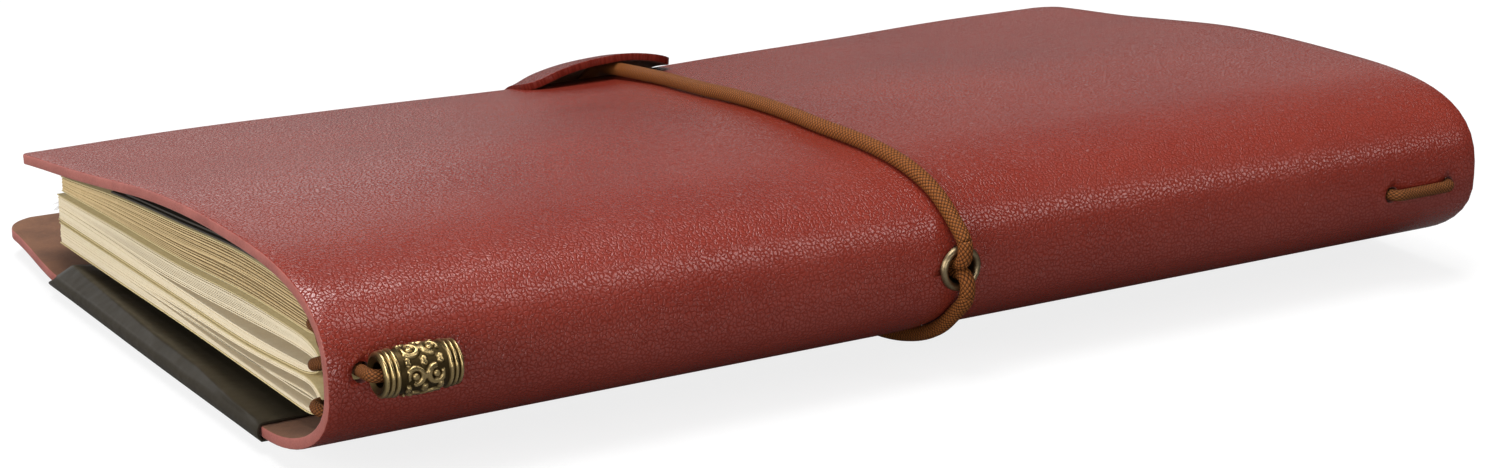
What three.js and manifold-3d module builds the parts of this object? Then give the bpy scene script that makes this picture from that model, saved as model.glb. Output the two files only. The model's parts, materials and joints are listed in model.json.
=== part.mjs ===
// Travelers notebook: a soft leather cover wrapped round three stapled booklets and a card holder.
// X runs along the spine, -Y is the spine's side, +Y the fore-edge and +Z goes up through the front cover.
// Sizes are in millimetres. Sections are drawn in Y and Z, with Y = 0 at the outermost spine and
// Z = 0 under the back cover, and the finished group is then set down on its closure cord.

import * as THREE from "three";
import { mergeVertices } from "three/addons/utils/BufferGeometryUtils.js";
import Module from "manifold-3d";

const wasm = await Module();
wasm.setup();

// Clearance between pieces that rest on each other
const SEAT = 0.3;

// Booklets: sizes of the paper, and how far the folds stand behind the outermost spine
const BOOKLET_LENGTH = 210;
const BOOKLET_WIDTH = 110;
const BOOKLET_COVER = 0.4;
const FOLD_REACH = 13.5;
const FOLD_ROUND = 3.2;

// Thickness of each layer of the stack at even stations from the fold to the fore-edge
const UNDERLAY = [2.9, 3.0, 3.0, 2.7, 2.5];
const BOOKLET_THREE = [6.2, 4.3, 4.0, 4.0, 3.9];
const BOOKLET_TWO = [5.7, 7.2, 5.9, 5.4, 4.7];
const CLEAR_POCKET = [0.4, 0.4, 0.4, 0.4, 0.4];
const BOOKLET_ONE = [5.6, 6.2, 5.8, 4.4, 2.6];
const CARD_HOLDER = [1.9, 1.9, 1.9, 1.9, 1.9];
const STACK = [UNDERLAY, BOOKLET_THREE, BOOKLET_TWO, CLEAR_POCKET, BOOKLET_ONE, CARD_HOLDER];
const LAYER = { three: 1, two: 2, pocket: 3, one: 4, cards: 5 };

// Leather cover
const LEATHER = 1.8;
const END_MARGIN = 5;
const FRONT_OVERHANG = 2.5;
const BACK_LEDGE = 21;
const FRONT_CORNER = 1.5;
const BACK_CORNER = 7;
const CROWN_ROOM = 2.3;
const EDGE_ROOM = 1.3;
const CROWN_REACH = 36;
const CROWN_EASE = 0.444;
const SPLIT_GAP = 0.3;

// Cords: the elastic that closes the notebook and the thinner one that holds the booklets
const CLOSURE_CORD = 2.5;
const BINDING_CORD = 2;
const CORD_SIDES = 8;
const cordUnderCover = CLOSURE_CORD / 2;

// Holes in the spine, and the metal eyelet in its middle
const HOLE_OUT = 105.6;
const HOLE_IN = 90.8;
const FAR_HOLE_OUT = 104.1;
const FAR_HOLE_IN = 91.2;
const HOLE_HEIGHT = { bead: 17.8, eyelet: 16, plain: 14.4 };
const HOLE_ROOM = 0.35;
const EYELET = { rim: 7.6, bore: 5, wall: 0.35, flange: 0.8 };
const WASHER = { rim: 8.4, thickness: 0.6, seat: 0.8 };
const CLOSURE_KNOT = FOLD_REACH - 6;
const BINDING_KNOT = 0.6 * FOLD_REACH - 2.1;

// Barrel bead threaded on the binding cord
const BEAD = { length: 12.4, endRadius: 3.05, beltRadius: 3.5, bore: 1.7, ring: 0.28, relief: 0.26 };
const BEAD_REACH = BEAD.beltRadius + BEAD.relief + SEAT;

// Closing tongue of the back cover, and the place of the cord under it
const TONGUE = { middle: 4.7, halfWidth: 15.9, tipRound: 6, overlap: 8 };
const TONGUE_DROOP = [2.4, 0.8, 0, 0.2, 1.3];
const TONGUE_CORD = 5;
const TONGUE_SLOT = 4.6;

// Smoke-grey plastic sleeve hooked over the back cover's near end
const SLEEVE = { spineSide: 25, foreSide: 113, sheet: 0.4, inner: 55, outer: 38, spineGape: 0.6, foreGape: 3.4 };

// Card holder and the sheet of its pocket
const CARDS = { length: 200, fold: 7, reach: 83, sheet: 0.4 };
const POCKET_STAND_OUT = 4.5;

// Wire staples of the booklets
const STAPLE = { wire: 0.5, crown: 12, leg: 1.7, inset: 52 };
const CENTRE_CORD = 4.1;

const coverLength = BOOKLET_LENGTH + 2 * END_MARGIN;
const frontReach = FOLD_REACH + BOOKLET_WIDTH + FRONT_OVERHANG;
const backReach = frontReach + BACK_LEDGE;

// Colours, roughness and metalness
const finish = (color, roughness, metalness = 0) =>
  new THREE.MeshStandardMaterial({ color, roughness, metalness });
const leather = finish(0x8a3a30, 0.45);
const kraftCard = finish(0xa89a66, 0.85);
const creamPaper = finish(0xe9dcbf, 0.9);
const kraftPaper = finish(0xc9ad7c, 0.9);
const brownElastic = finish(0x8d5424, 0.8);
const antiqueBrass = finish(0x8f7a44, 0.4, 0.9);
const steelWire = finish(0xb9bcc0, 0.3, 1);
const smokePlastic = finish(0x4a4840, 0.2);
const darkPlastic = finish(0x3a3836, 0.35);
const clearPlastic = finish(0xe6e8e6, 0.15);

const notebook = new THREE.Group();

function place(name, geometry, material) {
  const mesh = new THREE.Mesh(geometry, material);
  mesh.name = name;
  notebook.add(mesh);
  return mesh;
}

// A closed three.js geometry as a solid that can be cut and joined
function solid(geometry) {
  const flat = geometry.index ? geometry.toNonIndexed() : geometry.clone();
  flat.deleteAttribute("normal");
  flat.deleteAttribute("uv");
  const merged = mergeVertices(flat, 1e-4);
  return new wasm.Manifold(
    new wasm.Mesh({
      numProp: 3,
      vertProperties: merged.attributes.position.array,
      triVerts: new Uint32Array(merged.index.array),
    }),
  );
}

// A cut or joined solid as a three.js geometry
function shell(body) {
  const mesh = body.getMesh();
  const geometry = new THREE.BufferGeometry();
  geometry.setAttribute("position", new THREE.BufferAttribute(mesh.vertProperties, 3));
  geometry.setIndex(new THREE.BufferAttribute(mesh.triVerts, 1));
  geometry.computeVertexNormals();
  return geometry;
}

// A section in Y and Z carried along the spine from one X to another
function alongSpine(section, from, to) {
  const geometry = new THREE.ExtrudeGeometry(new THREE.Shape(section), {
    depth: to - from,
    bevelEnabled: false,
    curveSegments: 8,
  });
  const axes = new THREE.Matrix4().makeBasis(
    new THREE.Vector3(0, 1, 0),
    new THREE.Vector3(0, 0, 1),
    new THREE.Vector3(1, 0, 0),
  );
  return geometry.applyMatrix4(axes).translate(from, 0, 0);
}

// A shape in X and Y carried upwards
function upward(shape, low, high) {
  return new THREE.ExtrudeGeometry(shape, {
    depth: high - low,
    bevelEnabled: false,
    curveSegments: 5,
  }).translate(0, 0, low);
}

function boxBetween(low, high) {
  const size = new THREE.Vector3().subVectors(high, low);
  const middle = new THREE.Vector3().addVectors(high, low).multiplyScalar(0.5);
  return new THREE.BoxGeometry(size.x, size.y, size.z).translate(middle.x, middle.y, middle.z);
}

// A round bar along Y, for holes through the spine
function barAcrossSpine(x, z, diameter, from, to, sides = 16) {
  return new THREE.CylinderGeometry(diameter / 2, diameter / 2, to - from, sides)
    .translate(x, (from + to) / 2, z);
}

// A route whose points are taken as they are, so that a tube steps only where it bends
class Route extends THREE.Curve {
  constructor(points) {
    super();
    this.points = points;
  }
  getPointAt(share) {
    return this.points[Math.round(share * (this.points.length - 1))].clone();
  }
  getTangentAt(share) {
    const i = Math.round(share * (this.points.length - 1));
    const last = this.points.length - 1;
    const before = this.points[Math.max(i - 1, 0)];
    const after = this.points[Math.min(i + 1, last)];
    const here = this.points[i];
    const into = i > 0 ? here.clone().sub(before).normalize() : new THREE.Vector3();
    const out = i < last ? after.clone().sub(here).normalize() : new THREE.Vector3();
    return into.add(out).normalize();
  }
}

// Rounds each inner corner of a hand-laid route
function rounded(corners, radius, steps = 4) {
  const points = [corners[0].clone()];
  for (let i = 1; i < corners.length - 1; i++) {
    const [before, here, after] = corners.slice(i - 1, i + 2);
    const reach = Math.min(radius, before.distanceTo(here) * 0.45, after.distanceTo(here) * 0.45);
    const start = here.clone().lerp(before, reach / before.distanceTo(here));
    const end = here.clone().lerp(after, reach / after.distanceTo(here));
    points.push(...new THREE.QuadraticBezierCurve3(start, here, end).getPoints(steps));
  }
  points.push(corners.at(-1).clone());
  return points;
}

// A round tube along a route
function tube(points, diameter, sides = CORD_SIDES) {
  const section = new THREE.Shape();
  for (let i = 0; i < sides; i++) {
    const turn = (2 * Math.PI * (i + 0.5)) / sides;
    const [x, y] = [Math.cos(turn) * diameter / 2, Math.sin(turn) * diameter / 2];
    if (i === 0) section.moveTo(x, y);
    else section.lineTo(x, y);
  }
  return new THREE.ExtrudeGeometry(section, {
    steps: points.length - 1,
    extrudePath: new Route(points),
  });
}

// Skins a row of rings that have the same number of points, and closes both ends
function loft(rings) {
  const count = rings[0].length;
  const positions = rings.flat().flatMap((p) => [p.x, p.y, p.z]);
  const faces = [];
  for (let r = 0; r + 1 < rings.length; r++) {
    for (let i = 0; i < count; i++) {
      const [a, b] = [r * count + i, r * count + ((i + 1) % count)];
      faces.push(a, b, b + count, a, b + count, a + count);
    }
  }
  const end = (rings.length - 1) * count;
  for (const [a, b, c] of endCap(rings[0])) faces.push(c, b, a);
  for (const [a, b, c] of endCap(rings.at(-1))) faces.push(end + a, end + b, end + c);
  const geometry = new THREE.BufferGeometry();
  geometry.setAttribute("position", new THREE.Float32BufferAttribute(positions, 3));
  geometry.setIndex(faces);
  geometry.computeVertexNormals();
  return geometry;
}

// Triangles that close a flat ring, seen along the axis that it faces most
function endCap(ring) {
  const normal = new THREE.Vector3();
  ring.forEach((p, i) => normal.add(new THREE.Vector3().crossVectors(p, ring[(i + 1) % ring.length])));
  const size = normal.toArray().map(Math.abs);
  const facing = size.indexOf(Math.max(...size));
  const [u, v] = [["y", "z"], ["z", "x"], ["x", "y"]][facing];
  const sign = Math.sign(normal.getComponent(facing));
  const outline = ring.map((p) => new THREE.Vector2(p[u] * sign, p[v]));
  return THREE.ShapeUtils.triangulateShape(outline, []);
}

// Value at a share of the booklet's width, from values at even stations
function stationValue(stations, share) {
  const knots = stations.map((value, i) => new THREE.Vector2(i / (stations.length - 1), value));
  return new THREE.SplineCurve(knots).getPoint(share).y;
}

// Heights of a layer's underside and top at a distance from the folds
function layerFloor(layer, reach) {
  const share = THREE.MathUtils.clamp(reach / BOOKLET_WIDTH, 0, 1);
  const below = STACK.slice(0, layer);
  return LEATHER + below.reduce((sum, stations) => sum + stationValue(stations, share) + SEAT, 0);
}

function layerTop(layer, reach) {
  const share = THREE.MathUtils.clamp(reach / BOOKLET_WIDTH, 0, 1);
  return layerFloor(layer, reach) + stationValue(STACK[layer], share);
}

function layerMiddle(layer, reach) {
  return (layerFloor(layer, reach) + layerTop(layer, reach)) / 2;
}

// Outline of the cover in section
const bottomBend = { depth: 28, height: 13.5, power: 2 };
const crownHeight = layerTop(LAYER.cards, 0.16 * BOOKLET_WIDTH) + CROWN_ROOM + LEATHER;
const edgeHeight = layerTop(LAYER.one, BOOKLET_WIDTH) + EDGE_ROOM + LEATHER;
const topBend = { depth: CROWN_REACH, height: crownHeight - bottomBend.height, power: 3 };

// A point of a bend: turn 0 is on the spine, a quarter turn is where it runs out flat
function onBend(bend, turn, up) {
  const inward = 1 - Math.max(Math.cos(turn), 0) ** (2 / bend.power);
  const rise = Math.sin(turn) ** (2 / bend.power);
  return new THREE.Vector2(bend.depth * inward, bottomBend.height + up * bend.height * rise);
}

// The turn at which a bend faces half way between the spine and the cover, where the leather hinges
function hingeTurn(bend) {
  return Math.atan((bend.height / bend.depth) ** (bend.power / (2 * bend.power - 2)));
}

// Half the split between two leather pieces, as a share of a bend's turn
function splitTurn(bend) {
  const turn = hingeTurn(bend);
  const step = 1e-3;
  const speed = onBend(bend, turn + step, 1).distanceTo(onBend(bend, turn, 1)) / step;
  return SPLIT_GAP / 2 / speed;
}

function bendPoints(bend, from, to, up, count) {
  const even = (turn) => (turn / (Math.PI / 2)) ** (2 / bend.power);
  const points = [];
  for (let i = 0; i <= count; i++) {
    const share = THREE.MathUtils.lerp(even(from), even(to), i / count);
    points.push(onBend(bend, share ** (bend.power / 2) * (Math.PI / 2), up));
  }
  return points;
}

// The front cover from its crown down to the fore-edge: an eased start, then a straight slope
function frontSlope(count) {
  const points = [];
  for (let i = 1; i <= count; i++) {
    const share = i / count;
    const drop = share < CROWN_EASE ? share ** 2 / (2 * CROWN_EASE) : share - CROWN_EASE / 2;
    const fall = ((crownHeight - edgeHeight) * drop) / (1 - CROWN_EASE / 2);
    points.push(new THREE.Vector2(CROWN_REACH + (frontReach - CROWN_REACH) * share, crownHeight - fall));
  }
  return points;
}

const quarter = Math.PI / 2;
const lowHinge = hingeTurn(bottomBend);
const highHinge = hingeTurn(topBend);
const backOutline = [
  new THREE.Vector2(backReach, 0),
  ...bendPoints(bottomBend, quarter, lowHinge + splitTurn(bottomBend), -1, 9),
];
const spineOutline = [
  ...bendPoints(bottomBend, lowHinge - splitTurn(bottomBend), 0, -1, 5),
  ...bendPoints(topBend, 0, highHinge - splitTurn(topBend), 1, 9).slice(1),
];
const frontOutline = [
  ...bendPoints(topBend, highHinge + splitTurn(topBend), quarter, 1, 9),
  ...frontSlope(12),
];
const coverOutline = [...backOutline, ...spineOutline, ...frontOutline];

// Moves an outline that runs from the back's fore-edge round to the front's towards the booklets
function drawIn(outline, distance) {
  return outline.map((p, i) => {
    const into = i > 0 ? p.clone().sub(outline[i - 1]).normalize() : new THREE.Vector2();
    const out = i + 1 < outline.length ? outline[i + 1].clone().sub(p).normalize() : new THREE.Vector2();
    const run = into.add(out).normalize();
    return new THREE.Vector2(p.x + run.y * distance, p.y - run.x * distance);
  });
}

const lining = drawIn(coverOutline, LEATHER);

function leatherStrip(outline) {
  const first = coverOutline.indexOf(outline[0]);
  const section = [...outline, ...lining.slice(first, first + outline.length).reverse()];
  return solid(alongSpine(section, -coverLength / 2, coverLength / 2));
}

// The plan of a cover whose two fore-edge corners are rounded
function coverPlan(reach, corner) {
  const half = coverLength / 2;
  const shape = new THREE.Shape();
  shape.moveTo(-half - 1, -20);
  shape.lineTo(half + 1, -20);
  shape.lineTo(half + 1, 30);
  shape.lineTo(half, 30);
  shape.lineTo(half, reach - corner);
  shape.absarc(half - corner, reach - corner, corner, 0, quarter, false);
  shape.absarc(corner - half, reach - corner, corner, quarter, Math.PI, false);
  shape.lineTo(-half, 30);
  shape.lineTo(-half - 1, 30);
  return solid(upward(shape, -20, crownHeight + 20));
}

// The groove that the tight closure cord presses into the underside of the back cover
function cordGroove() {
  const halfWidth = CLOSURE_CORD / 2 + SEAT;
  const radius = (halfWidth ** 2 + SEAT ** 2) / (2 * SEAT);
  const path = [[TONGUE_CORD + 0.6, backReach + 13], [1.5, 60], [-0.19, 24], [-0.4, 18]];
  return tube(path.map(([x, y]) => new THREE.Vector3(x, y, SEAT - radius)), 2 * radius, 48);
}

function backCover() {
  return shell(
    leatherStrip(backOutline).intersect(coverPlan(backReach, BACK_CORNER)).subtract(solid(cordGroove())),
  );
}

function frontCover() {
  return shell(leatherStrip(frontOutline).intersect(coverPlan(frontReach, FRONT_CORNER)));
}

// The spine with its four cord holes and the hole of the eyelet
function spineCover() {
  const cordHole = BINDING_CORD + 2 * HOLE_ROOM;
  const holes = [
    [-HOLE_OUT, HOLE_HEIGHT.bead, cordHole],
    [-HOLE_IN, HOLE_HEIGHT.bead, cordHole],
    [0, HOLE_HEIGHT.eyelet, EYELET.bore + 2 * EYELET.wall + 2 * SEAT],
    [FAR_HOLE_IN, HOLE_HEIGHT.plain, cordHole],
    [FAR_HOLE_OUT, HOLE_HEIGHT.plain, cordHole],
  ];
  return shell(
    holes.reduce(
      (body, [x, z, diameter]) => body.subtract(solid(barAcrossSpine(x, z, diameter, -3, 8))),
      leatherStrip(spineOutline),
    ),
  );
}

// A ring turned about the eyelet's axis, from a profile of radius and depth behind the spine's face
function turnedRing(profile, sides = 24) {
  const points = [...profile, profile[0]].map(([radius, depth]) => new THREE.Vector2(radius, depth));
  return new THREE.LatheGeometry(points, sides).translate(0, 0, HOLE_HEIGHT.eyelet);
}

const washerFace = LEATHER + WASHER.seat + SEAT;
const curlFace = washerFace + WASHER.thickness + SEAT;

// The eyelet: a rounded flange outside, a barrel through the leather and a curl that holds the washer
function eyelet() {
  const bore = EYELET.bore / 2;
  const barrel = bore + EYELET.wall;
  const rim = EYELET.rim / 2;
  const curl = barrel + 0.75;
  return turnedRing([
    [bore, 0],
    [bore + 0.12, -0.7],
    [bore + 0.45, -SEAT - EYELET.flange],
    [rim - 0.5, -SEAT - EYELET.flange],
    [rim, -SEAT - 0.4],
    [rim, -SEAT],
    [barrel, -SEAT],
    [barrel, curlFace],
    [curl, curlFace],
    [curl, curlFace + 0.35],
    [barrel, curlFace + 0.6],
    [bore, curlFace + 0.35],
  ]);
}

function eyeletWasher() {
  const inner = EYELET.bore / 2 + EYELET.wall + 0.2;
  return turnedRing([
    [inner, washerFace],
    [WASHER.rim / 2, washerFace],
    [WASHER.rim / 2, washerFace + WASHER.thickness],
    [inner, washerFace + WASHER.thickness],
  ]);
}

// A tied knot: three turns of cord that cross each other
function knot(diameter, cord, x, y, z) {
  const turns = [0, 1, 2].map((i) =>
    solid(
      new THREE.TorusGeometry((diameter - cord) / 2, cord / 2, 8, 14)
        .rotateY((i * Math.PI) / 3)
        .rotateX(i * 0.35)
        .translate(x, y, z),
    ),
  );
  const core = solid(new THREE.SphereGeometry((diameter - cord) / 2, 10, 8).translate(x, y, z));
  return shell(turns.reduce((body, turn) => body.add(turn), core));
}

// The skin of a booklet: its lower and upper outline, drawn in by an inset, round at the fold
function skin(layer, inset) {
  const round = FOLD_ROUND - inset;
  const reaches = [];
  for (let i = 0; i <= 5; i++) reaches.push(inset + round * (1 - Math.cos((i / 5) * quarter)));
  for (let i = 1; i <= 12; i++) reaches.push(FOLD_ROUND + ((BOOKLET_WIDTH - FOLD_ROUND) * i) / 12);
  const side = (sign) =>
    reaches.map((reach) => {
      const half = (layerTop(layer, reach) - layerFloor(layer, reach)) / 2 - inset;
      const shrink = reach < FOLD_ROUND ? Math.sqrt(1 - ((FOLD_ROUND - reach) / round) ** 2) : 1;
      return new THREE.Vector2(FOLD_REACH + reach, layerMiddle(layer, reach) + sign * half * shrink);
    });
  return { lower: side(-1), upper: side(1) };
}

// The card cover of a booklet, folded round its leaves
function bookletCover(layer) {
  const outer = skin(layer, 0);
  const inner = skin(layer, BOOKLET_COVER);
  const section = [
    ...outer.lower.toReversed(),
    ...outer.upper.slice(1),
    ...inner.upper.toReversed(),
    ...inner.lower.slice(1),
  ];
  return solid(alongSpine(section, -BOOKLET_LENGTH / 2, BOOKLET_LENGTH / 2));
}

const leafInset = BOOKLET_COVER + SEAT;
const leafTrim = 0.6;

// A slot between leaves: open at the fore-edge, at a share of the booklet's thickness
function leafSlot(layer, share, start, bundles, air) {
  const low = [];
  const high = [];
  const stations = 9;
  for (let i = 0; i <= stations; i++) {
    const reach = start + ((BOOKLET_WIDTH + 1 - start) * i) / stations;
    const floor = layerFloor(layer, reach) + leafInset;
    const top = layerTop(layer, reach) - leafInset;
    const middle = THREE.MathUtils.lerp(floor, top, share);
    const half = ((top - floor) / bundles) * air(i / stations) / 2;
    low.push(new THREE.Vector2(FOLD_REACH + reach, middle - half));
    high.push(new THREE.Vector2(FOLD_REACH + reach, middle + half));
  }
  return solid(alongSpine([...low, ...high.toReversed()], -BOOKLET_LENGTH, BOOKLET_LENGTH));
}

// Folded leaves: one block at the fold that spreads into thin bundles with air between them
function foldedLeaves(layer, bundles, air, closesAt) {
  const edge = skin(layer, leafInset);
  const section = [...edge.lower.toReversed(), ...edge.upper.slice(1)];
  const reach = FOLD_REACH + BOOKLET_WIDTH - leafTrim;
  const trim = solid(
    boxBetween(new THREE.Vector3(-BOOKLET_LENGTH, 0, 0), new THREE.Vector3(BOOKLET_LENGTH, reach, 60)),
  );
  let body = solid(alongSpine(section, -BOOKLET_LENGTH / 2, BOOKLET_LENGTH / 2)).intersect(trim);
  for (let i = 1; i < bundles; i++) {
    const share = i / bundles;
    if (share === 0.5) continue;
    const start = closesAt * (1.15 - 1.5 * Math.abs(share - 0.5));
    body = body.subtract(leafSlot(layer, share, start, bundles, air));
  }
  return body;
}

// The opening at the middle of a booklet, wide at the fold for its cord and closing further out
function centreOpening(layer, room, closesAt) {
  const reaches = [leafInset + 0.7, CENTRE_CORD - room, CENTRE_CORD + room, closesAt, BOOKLET_WIDTH + 1];
  const halves = [0.55, room, room, 0.08, 0.08];
  const side = (sign) =>
    reaches.map((reach, i) => new THREE.Vector2(
      FOLD_REACH + reach, layerMiddle(layer, reach) + sign * halves[i],
    ));
  return solid(alongSpine([...side(-1), ...side(1).toReversed()], -BOOKLET_LENGTH, BOOKLET_LENGTH));
}

// The space that parts the two halves of a booklet, from outside its fold to its fore-edge
function partingSpace(layer, foldRoom, room, closesAt) {
  const reaches = [-2, CENTRE_CORD - room - 0.6, CENTRE_CORD - room, CENTRE_CORD + room, closesAt, BOOKLET_WIDTH + 1];
  const halves = [foldRoom, foldRoom, room, room, 0.06, 0.06];
  const side = (sign) =>
    reaches.map((reach, i) => new THREE.Vector2(
      FOLD_REACH + reach, layerMiddle(layer, Math.max(reach, 0)) + sign * halves[i],
    ));
  return solid(alongSpine([...side(-1), ...side(1).toReversed()], -BOOKLET_LENGTH, BOOKLET_LENGTH));
}

// Staples: a crown outside the fold, legs through it and tips clinched inwards
function stapleRoute(layer, x) {
  const z = layerMiddle(layer, 0);
  const crown = FOLD_REACH - SEAT - STAPLE.wire / 2;
  const clinch = FOLD_REACH + STAPLE.leg + STAPLE.wire / 2;
  const half = STAPLE.crown / 2;
  return [
    new THREE.Vector3(x - half + 4.6, clinch, z),
    new THREE.Vector3(x - half, clinch, z),
    new THREE.Vector3(x - half, crown, z),
    new THREE.Vector3(x + half, crown, z),
    new THREE.Vector3(x + half, clinch, z),
    new THREE.Vector3(x + half - 4.6, clinch, z),
  ];
}

function stapleHoles(layer) {
  const z = layerMiddle(layer, 0);
  const room = STAPLE.wire / 2 + SEAT;
  const holes = [];
  for (const x of [-STAPLE.inset, STAPLE.inset]) {
    for (const leg of [-STAPLE.crown / 2, STAPLE.crown / 2]) {
      holes.push(solid(boxBetween(
        new THREE.Vector3(x + leg - room, FOLD_REACH - 1, z - room),
        new THREE.Vector3(x + leg + room, FOLD_REACH + STAPLE.leg + 1, z + room),
      )));
    }
  }
  return holes;
}

function drill(body, holes) {
  return holes.reduce((rest, hole) => rest.subtract(hole), body);
}

function placeStaples(layer, booklet) {
  ["near", "far"].forEach((end, i) => {
    const x = i ? STAPLE.inset : -STAPLE.inset;
    const route = rounded(stapleRoute(layer, x), 0.5, 2);
    place(`${booklet}_staple_${end}`, tube(route, STAPLE.wire, 6), steelWire);
  });
}

// A booklet held whole by the binding cord
function placeWholeBooklet(layer, booklet, paper, bundles, air, closesAt) {
  const holes = stapleHoles(layer);
  const room = BINDING_CORD / 2 + SEAT;
  const leaves = foldedLeaves(layer, bundles, air, closesAt).subtract(centreOpening(layer, room, closesAt));
  place(`${booklet}_cover`, shell(drill(bookletCover(layer), holes)), kraftCard);
  place(`${booklet}_leaves`, shell(drill(leaves, holes)), paper);
  placeStaples(layer, booklet);
}

// The top booklet lies open at its middle, so each half of its cover and leaves is a piece
function placeOpeningBooklet(layer, booklet, paper, bundles, air, closesAt) {
  const holes = stapleHoles(layer);
  const parting = partingSpace(layer, 0.6, BINDING_CORD / 2 + SEAT, closesAt);
  const halves = (body) => {
    const parts = drill(body.subtract(parting), holes).decompose();
    return parts.sort((a, b) => middleHeight(a) - middleHeight(b));
  };
  const [lowCover, highCover] = halves(bookletCover(layer));
  const [lowLeaves, highLeaves] = halves(foldedLeaves(layer, bundles, air, closesAt));
  place(`${booklet}_cover_back`, shell(lowCover), kraftCard);
  place(`${booklet}_cover_front`, shell(highCover), kraftCard);
  place(`${booklet}_leaves_back`, shell(lowLeaves), paper);
  place(`${booklet}_leaves_front`, shell(highLeaves), paper);
  placeStaples(layer, booklet);
}

function middleHeight(body) {
  const { min, max } = body.boundingBox();
  return (min[2] + max[2]) / 2;
}

// A thin sheet that follows the stack, between two distances from the folds
function sheetOnStack(layer, rise, thickness, from, to, halfLength) {
  const low = [];
  const high = [];
  for (let i = 0; i <= 10; i++) {
    const reach = from + ((to - from) * i) / 10;
    const z = layerFloor(layer, reach) + rise;
    low.push(new THREE.Vector2(FOLD_REACH + reach, z));
    high.push(new THREE.Vector2(FOLD_REACH + reach, z + thickness));
  }
  return { low, high, halfLength };
}

function sheetGeometry({ low, high, halfLength }) {
  return alongSpine([...low, ...high.toReversed()], -halfLength, halfLength);
}

// The card holder: one sheet folded in two, with a pocket sheet between its panels
function cardHolder() {
  const { sheet, fold, reach, length } = CARDS;
  const top = CARD_HOLDER[0] - sheet;
  const lower = sheetOnStack(LAYER.cards, 0, sheet, fold, reach, length / 2);
  const upper = sheetOnStack(LAYER.cards, top, sheet, fold, reach, length / 2);
  const section = [
    ...lower.low.toReversed(),
    ...upper.high,
    ...upper.low.slice(1).toReversed(),
    new THREE.Vector2(upper.low[0].x + sheet, upper.low[0].y),
    new THREE.Vector2(lower.high[0].x + sheet, lower.high[0].y),
    ...lower.high.slice(1),
  ];
  return alongSpine(section, -length / 2, length / 2);
}

function cardPocketSheet() {
  const { sheet, fold, reach, length } = CARDS;
  const rise = (CARD_HOLDER[0] - sheet) / 2;
  return sheetGeometry(
    sheetOnStack(LAYER.cards, rise, sheet, fold + sheet + SEAT, reach - 3, length / 2 - 3),
  );
}

function clearPocket() {
  const reach = BOOKLET_WIDTH + POCKET_STAND_OUT;
  return sheetGeometry(sheetOnStack(LAYER.pocket, 0, CLEAR_POCKET[0], 6, reach, 104));
}

// The sleeve's ring at one distance from the spine: a sheet folded sharply below the cover's end,
// which stands off above it and comes to rest on the leather further in
function sleeveRing(y, gape) {
  const end = -coverLength / 2;
  const { sheet, inner, outer } = SLEEVE;
  const floor = -SEAT - sheet;
  const tuck = LEATHER + SEAT;
  const crest = tuck + gape;
  const lean = 0.3 * gape - 0.75;
  return [
    [outer, floor], [-1.1, floor], [-1.4, floor + 0.5],
    [lean - 0.25, crest + sheet - 0.4], [lean + 0.5, crest + sheet],
    [5.2, tuck + gape * 0.5 + sheet], [12, tuck + sheet], [inner, tuck + sheet],
    [inner, tuck], [12, tuck], [5.1, tuck + gape * 0.5],
    [lean + 0.6, crest], [lean + 0.15, crest - 0.25],
    [-0.85, floor + 0.75], [-0.7, -SEAT], [outer, -SEAT],
  ].map(([x, z]) => new THREE.Vector3(end + x, y, z));
}

function plasticSleeve() {
  const rings = [];
  for (let i = 0; i <= 4; i++) {
    const share = i / 4;
    const y = THREE.MathUtils.lerp(SLEEVE.spineSide, SLEEVE.foreSide, share);
    rings.push(sleeveRing(y, THREE.MathUtils.lerp(SLEEVE.spineGape, SLEEVE.foreGape, share ** 1.6)));
  }
  return loft(rings);
}

// Where the closure cord runs over the cover, as the outline moved out by the cord's radius
const cordStandOff = CLOSURE_CORD / 2 + SEAT;
const outside = drawIn(coverOutline, -cordStandOff);
const overCover = outside.slice(backOutline.length);
const underCover = outside.slice(0, backOutline.length + spineOutline.length);
const cordOverRim = -SEAT - EYELET.flange - cordStandOff;
const cordInBore = EYELET.bore / 2 - CLOSURE_CORD / 2 - 0.2;

// Sideways drift of the closure cord, by its distance from the spine
function cordDrift(y) {
  const stations = [[-3, 0], [6, -1.1], [36, -3.7], [60, -2.8], [75, -1.9], [97, 2.1], [115, 4.3]];
  const last = stations.findIndex(([reach]) => reach > y);
  if (last < 0) return TONGUE_CORD;
  const [[fromY, fromX], [toY, toX]] = [stations[last - 1], stations[last]];
  return THREE.MathUtils.lerp(fromX, toX, (y - fromY) / (toY - fromY));
}

const cordEnd = LEATHER + 2.6;

// From the knot out of the eyelet, over the cover and round the fore-edge to below the back cover
function closureOverRoute() {
  const top = HOLE_HEIGHT.eyelet + cordInBore;
  const start = [
    new THREE.Vector3(0, cordEnd, top),
    new THREE.Vector3(0, cordOverRim, top),
    new THREE.Vector3(0, cordOverRim, HOLE_HEIGHT.eyelet + EYELET.rim / 2 + 1.4),
  ];
  const clearOfRim = HOLE_HEIGHT.eyelet + EYELET.rim / 2 + 3.6;
  const above = overCover
    .filter((p) => (p.x > 5 || p.y > clearOfRim) && p.x < frontReach - 5)
    .map((p) => new THREE.Vector3(cordDrift(p.x), p.x, p.y));
  const x = TONGUE_CORD;
  const round = [
    new THREE.Vector3(x, frontReach + 1.7, edgeHeight + 1.7),
    new THREE.Vector3(x, backReach + cordStandOff, 4.2),
    new THREE.Vector3(x, backReach + cordStandOff, -cordUnderCover),
    new THREE.Vector3(x, backReach - 8, -cordUnderCover),
  ];
  return [
    ...rounded([...start, above[0]], 1.9, 3).slice(0, -1),
    ...above.slice(0, -1),
    ...rounded([above.at(-1), ...round], 2.2, 3),
  ];
}

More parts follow.
